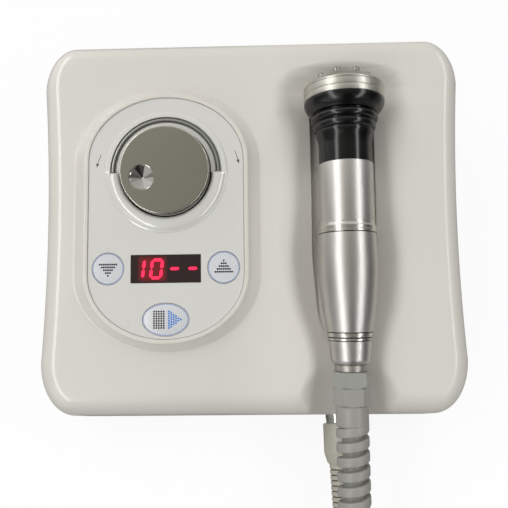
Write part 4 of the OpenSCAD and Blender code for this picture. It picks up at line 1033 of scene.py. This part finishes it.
def build_head():
    """Electrode head: turned rim with fine lines, a domed end and flat-domed studs."""
    prof = rounded([(25.8, 82.7), (25.8, 80.7, 0), (28, 80.7, 0.3), (28, 83.9), (27.65, 84.15),
                    (27.65, 84.8), (28, 85.05), (28, 88.7), (27.65, 88.95), (27.65, 89.35),
                    (28, 89.6), (28, 90.3, 0.5), (27.7, 90.95, 0.5), (27.1, 91.2)], 0.12, 3)
    prof += [(r, dome_height(r)) for r in (26.9 * (1 - i / 24) for i in range(1, 24))]
    prof += [(0.0, 102.7), (0.0, 100.2), (12.5, 98.2), (24.6, 90.7), (24.6, 82.7)]
    turned("head", prof, HEAD, "head_cap", sharp=25)
    shape, stud, rise = Shape(), 2.6, 1.85
    for x, y in [*(polar(17, radians(22.5 + 45 * i)) for i in range(8)), (0, 0)]:
        z = dome_height(hypot(x, y)) - 0.15
        cap = [(stud * cos(a), z + rise * sin(a))
               for a in (pi / 2 * k / 8 for k in range(8))]
        shape.lathe([(stud, 91.0), *cap, (0.0, z + rise)], 32, centre=(x, y))
    piece("electrodes", shape, ELECTRODE, "handpiece", AT_HAND,
          "head_electrodes")


def build_collar():
    """Black collar: soft rings, each with a lit lip over a dark groove."""
    flare = [(18.3, 48.5), (18.35, 50.5), (18.7, 52.8), (19.2, 54.8), (19.7, 56.6), (19.9, 58.0),
             (19.8, 59.0)]
    ring_a = [(20.9, 60.4), (21.3, 61.2), (21.5, 62.4), (21.45, 63.6), (21.1, 64.7)]
    ring_b = [(22.5, 66.1), (23.0, 67.0), (23.25, 68.2), (23.0, 69.6), (22.4, 70.6)]
    bell = [(23.6, 71.9), (24.2, 72.7), (25.8, 74.2), (27.2, 76.4), (27.9, 78.6), (28, 80.3)]
    turned("collar", [(18.3, 36.2), *spline(flare, 0.5), (19.62, 59.3), (19.7, 59.7),
                      (20.75, 60.3), *spline(ring_a, 0.35), (20.9, 65.0), (21.0, 65.4),
                      (22.35, 66.0), *spline(ring_b, 0.35), (21.8, 70.9), (21.9, 71.2),
                      (23.4, 71.8), *spline(bell, 0.45), (27.9, 80.6), (27.7, 80.7),
                      (21.3, 80.7), (15.3, 71), (15.3, 30.2), (16.3, 30.2), (16.3, 36.2)],
           BLACK, "neck_collar", sharp=40)


def build_barrel():
    """Front tube, mid ring, barrel, tail ring, tail cap and washer."""
    turned("tube_front", rounded([(16.45, -4.4), (19.05, -4.4), (19.05, 36.2, 0.5), (16.35, 36.2),
                                  (16.35, 28.2), (16.45, 28.2)]),
           SATIN, "front_tube")
    # painted shade: dark bands in the rings' grooves and under their edges
    turned("ring_mid", rounded([(16.45, -12.4), (19.2, -12.4), (19.2, -12.1, 0.1),
                                (19.9, -11.8, 0.3), (19.9, -10.35, 0.25), (19.5, -10.1, 0.1),
                                (19.9, -9.85, 0.25), (19.9, -7.6, 0.3), (19.42, -7.0, 0.4),
                                (19.15, -5.6, 1.0), (19.05, -4.4), (16.45, -4.4)]),
           RING_METAL, "mid_ring", shaded_bands=[(-12.39, -11.75)])
    turned("barrel", [*spline([(15.5, -78.4), (17.1, -70), (18.6, -60), (19.7, -50), (20.4, -40),
                               (20.5, -34), (20.35, -26), (19.7, -12.4)], 1.5),
                      (17.7, -12.4), (18.5, -34), (16.6, -60), (13.5, -78.4)],
           SATIN, "rear_barrel")
    turned("ring_tail", rounded([(11.8, -84.5), (14.8, -84.5, 0.2), (15.2, -84.0, 0.3),
                                 (15.2, -82.6, 0.3), (14.7, -82.3, 0.1), (14.7, -82.0, 0.1),
                                 (15.4, -81.7, 0.3), (15.4, -79.0, 0.4), (14.9, -78.4, 0.2),
                                 (11.8, -78.4)], steps=3),
           RING_METAL, "tail_ring",
           shaded_bands=[(-84.49, -83.9), (-82.62, -81.7), (-79.1, -78.41)])
    turned("cap_tail", rounded([(7.2, -100.3), (10.4, -100.3, 0.5), (12.4, -99.4, 1.0),
                                (13.5, -97.3, 1.2), (14.6, -84.5, 0.1), (11.8, -84.5),
                                (11.3, -97.3), (7.2, -97.3)]), SATIN, "tail_cap")
    turned("washer", rounded([(7.2, -105), (10.8, -105, 0.7), (10.8, -100.3, 0.5),
                              (7.2, -100.3)]), WASHER, "gland_washer", 96)


def hexagon(flats, z0, z1, degrees, seg=96, chamfer=0.9):
    """Hexagonal prism along Z with its corners broken by a cone at both ends."""
    rin = flats / 2
    cone = rin * 1.015
    half = [(0.0, cone), (chamfer * 0.5, cone + chamfer * 0.8), (chamfer, rin * 1.2)]
    levels = [(z0 + t, cap) for t, cap in half] + [(z1 - t, cap) for t, cap in reversed(half)]
    rings = []
    for z, cap in levels:
        cap = min(cap, rin / cos(pi / 6) - 0.12)
        rings.append([polar(min(cap, rin / cos((a + pi / 6) % (pi / 3)
                                                    - pi / 6)),
                            a + radians(degrees + 30), z)
                      for a in (2 * pi * i / seg for i in range(seg))])
    return Shape().loft(rings, cap=True)


def build_gland():
    """Two hexagons, a dome, and one wound strip from the dome to a closed ring at its end."""
    piece("gland_front", hexagon(23.0, -115.3, -105.0, 8), GLAND, "handpiece", AT_HAND,
          "gland_body", sharp=20)
    shape = hexagon(22.4, -127.2, -115.3, -1)
    shape.lathe(rounded([(4.4, -127.2), (10.9, -127.2, 0.6), (11.0, -129.4, 1.0),
                         (11.0, -139.8, 1.0), (10.2, -141.2, 0.4), (4.4, -141.2)]), 72, closed=True)
    pitch, wide, r_out, r_in = 9.4, 6.3, 11.0, 7.0
    section = rounded([(r_in, -wide / 2, 0.3), (r_out, -wide / 2, 1.1), (r_out, wide / 2, 1.1),
                       (r_in, wide / 2, 0.3)], closed=True)
    start, end = -140.6, -200.2
    turns = (start - end) / pitch
    steps = int(turns * 56)
    shape.loft([[polar(r, radians(20) - 2 * pi * turns * s, start + (end - start) * s + z)
                 for r, z in section] for s in (i / steps for i in range(steps + 1))], cap=True)
    shape.lathe([(4.2, start), (7.3, start), (7.3, -198.8), (4.2, -198.8)], 72, closed=True)
    shape.lathe(rounded([(8.2, -198.6, 0.3), (11.0, -198.6, 1.0), (11.0, -203.0, 1.0),
                         (8.2, -203.0, 0.3)], closed=True), 72, closed=True)
    piece("gland_spiral", shape, SPIRAL, "handpiece", AT_HAND, "gland_nut", sharp=35)


def build_plug():
    """Chrome nose and a grey grip whose boot is cut by slits all round, the slits painted dark as
    their shade.
    """
    nose = rounded([(6.5, -7), (6.5, 3.5), (9.1, 3.5, 0.5), (9.1, 6.3, 0.2), (5.6, 6.3), (5.6, -7)])
    piece("plug_chrome", Shape().lathe(nose, 72, closed=True), CHROME, ROOT, AT_PLUG,
          "plug_nose")
    prof = [(0, 6.3), (10.6, 6.3, 0.4), (11.5, 7.1, 0.6), (11.5, 26.8, 3.0), (9.4, 33.6, 1.6),
            (8.8, 34.0, 0.4)]
    foot, pitch, count = 35.0, 3.6, 9
    for z in (foot + i * pitch for i in range(count)):
        r = 8.0 - (z - 34.8) / 34.0
        prof += [(r, z, 0.35), (r, z + 2.75, 0.35), (r - 0.8, z + 2.85, 0.1),
                 (r - 0.8, z + 3.5, 0.1)]
    prof += [(7.05, 67.4, 0.3), (7.0, 68.6, 0.4), (6.6, 68.8, 0.2), (0, 68.8)]

    # painted shade: the faces inside the slits take the dark material
    def in_slit(corners):
        z = (corners[:, 2].max() + corners[:, 2].min()) / 2 - foot
        return 0 < z < count * pitch and 2.76 < z % pitch < 3.55
    shape = Shape().lathe(rounded(prof, steps=3), 72).paint(in_slit)
    piece("plug_grip", shape, [PLUG, SLIT_SHADE], ROOT, AT_PLUG, "plug_body", sharp=35)


def build_marks():
    """The usual bar and ring on the two halves of the power rocker."""
    def spot(x, z, up):
        return (x, 2.1 + abs(x) * 0.108 + up, z)
    shape = Shape()
    shape.loft([[spot(5.4 + r * x, r * 1.25 * y, up) for r, up in
                 ((1.45, -0.2), (1.45, 0.08), (2.0, 0.08), (2.0, -0.2))]
                for x, y in (polar(1.0, 2 * pi * i / 32) for i in range(33))])
    shape.loft([[spot(x, z, up) for x, z in ((-5.8, -2.4), (-5.2, -2.4), (-5.2, 2.4), (-5.8, 2.4))]
                for up in (-0.2, 0.08)], cap=True)
    piece("rocker_marks", shape, MARK, "power_rocker",
          AT_ENTRY @ shift(0, -1, 13.5) @ turn("Z", -7), sharp=20)


build_head()
build_collar()
build_barrel()
build_gland()
build_plug()
build_marks()

# ---------- floor, world and lights ----------

def build_floor():
    """A grey floor for the light, and white paper with soft shadows for the camera."""
    shape = Shape().add([(-3000, -3000, 0), (3000, -3000, 0), (3000, 3000, 0), (-3000, 3000, 0)],
                        [(0, 1, 2, 3)])
    n = Surface("floor_pale")
    camera = n.node("LightPath").outputs["Is Camera Ray"]
    paper = n.mix(n.ramp(n.noise(3.0), 0.0, 1.0), (0.97, 0.97, 0.97, 1), (0.99, 0.99, 0.99, 1))
    n.put(Base_Color=n.mix(camera, (0.32, 0.32, 0.31, 1), paper), Roughness=0.7)
    white = n.node("Emission", {"Color": (1, 1, 1, 1), "Strength": 1.0})
    both = n.mix_shader(n.calc("MULTIPLY", camera, 0.9), n.bsdf.outputs[0], white.outputs[0])
    n.feed(n.tree.nodes["Material Output"].inputs["Surface"], both)
    piece("floor", shape, n.mat, None, flip=False, own=True)


# greys of the room as (place along an axis, level): RISE and ENDS light the room, BACK is the
# wall behind, each tinted across by its SIDE, and FRONT stands before the object
RISE = [(0.0, (0.16, 0.16, 0.15)), (0.3, (0.26, 0.26, 0.25)), (0.8, (0.34, 0.33, 0.29)),
        (1.0, (0.35, 0.34, 0.285))]
ENDS = [(0.0, 0.15), (0.14, 0.03), (0.23, 0.02), (0.31, 0.9), (1.0, 1.0)]
SIDE = [(0.0, 1.0), (0.3, 1.0), (0.75, 0.5), (1.0, 0.15)]
BACK = [(0.0, 0.0), (0.56, 0.0), (0.63, (0.6, 0.6, 0.59)), (0.8, (1.3, 1.3, 1.29)),
        (1.0, (1.3, 1.3, 1.29))]
BACK_SIDE = [(0.0, 0.9), (0.3, 1.0), (0.4, 0.6), (0.5, 0.6), (0.6, 1.0), (1.0, 1.0)]
FRONT = [(0.0, 1.0), (0.2, (1.1, 1.1, 1.09)), (0.28, (0.6, 0.6, 0.59)), (0.33, 0.0), (1.0, 0.0)]
FRONT_SIDE = [(0.0, 0.8), (0.32, 1.0), (0.42, 0.0), (0.6, 0.0), (0.75, 0.4), (1.0, 0.2)]


def build_world():
    """A grey room: paler towards the floor and to the left, olive overhead."""
    scene.world = bpy.data.worlds.new("studio")
    scene.world.use_nodes = True
    n = Tree(scene.world.node_tree)
    x, y, z = n.split(n.node("TexCoord").outputs["Generated"])

    def run(axis, stops, low=-1.0):
        """Smooth greys along one axis, whose place 0 is low and whose place 1 is 1."""
        greys = n.node("ValToRGB", {0: n.ramp(axis, 0.0, 1.0, (low, 1.0))})
        ramp = greys.color_ramp
        ramp.interpolation = "B_SPLINE"
        first, last = ramp.elements
        first.position, last.position = stops[0][0], stops[-1][0]
        for at, _ in stops[1:-1]:
            ramp.elements.new(at)
        for mark, (_, grey) in zip(ramp.elements, stops):
            mark.color = (*(grey if isinstance(grey, tuple) else (grey,) * 3), 1.0)
        return greys.outputs[0]

    def times(a, b):
        return n.mix(1.0, a, b, "MULTIPLY")
    lit = n.mix(1.0, times(run(z, RISE, 0.0), run(y, ENDS)), times(run(y, BACK), run(x, BACK_SIDE)),
                "ADD")
    room = n.mix(1.0, times(lit, run(x, SIDE)), times(run(y, FRONT), run(x, FRONT_SIDE)), "ADD")
    grey = n.tree.nodes["Background"]
    n.feed(grey.inputs["Color"], room)
    grey.inputs["Strength"].default_value = 1.0
    white = n.node("Background", {"Color": (1, 1, 1, 1), "Strength": 1.0})
    camera = n.node("LightPath").outputs["Is Camera Ray"]
    n.feed(n.tree.nodes["World Output"].inputs["Surface"],
           n.mix_shader(camera, grey.outputs[0], white.outputs[0]))


def strip(name, place, target, across, along, watts):
    """A soft rectangular light at place, turned to target, with along on the row's Y."""
    data = bpy.data.lights.new(name, "AREA")
    data.shape = "RECTANGLE"
    data.size, data.size_y, data.energy = across, along, watts
    z = (Vector(place) - Vector(target)).normalized()
    x = Vector((0, 1, 0)).cross(z).normalized()
    x = x if x.x >= 0 else -x
    return add_object(name, data, axes_at(x, z, place))


build_floor()
build_world()
strip("key_left", (-0.82, -0.3, 1.07), (0.067, -0.3, 0.09), 0.26, 2.6, 8.9)
strip("fill_right", (1.012, -0.3, 1.054), (0.067, -0.3, 0.09), 0.19, 2.6, 8.7)
front = strip("front_soft", (0.1, -1.5, 0.8), (0.0, -0.05, 0.08), 1.4, 0.5, 1.8)
front.visible_glossy = False
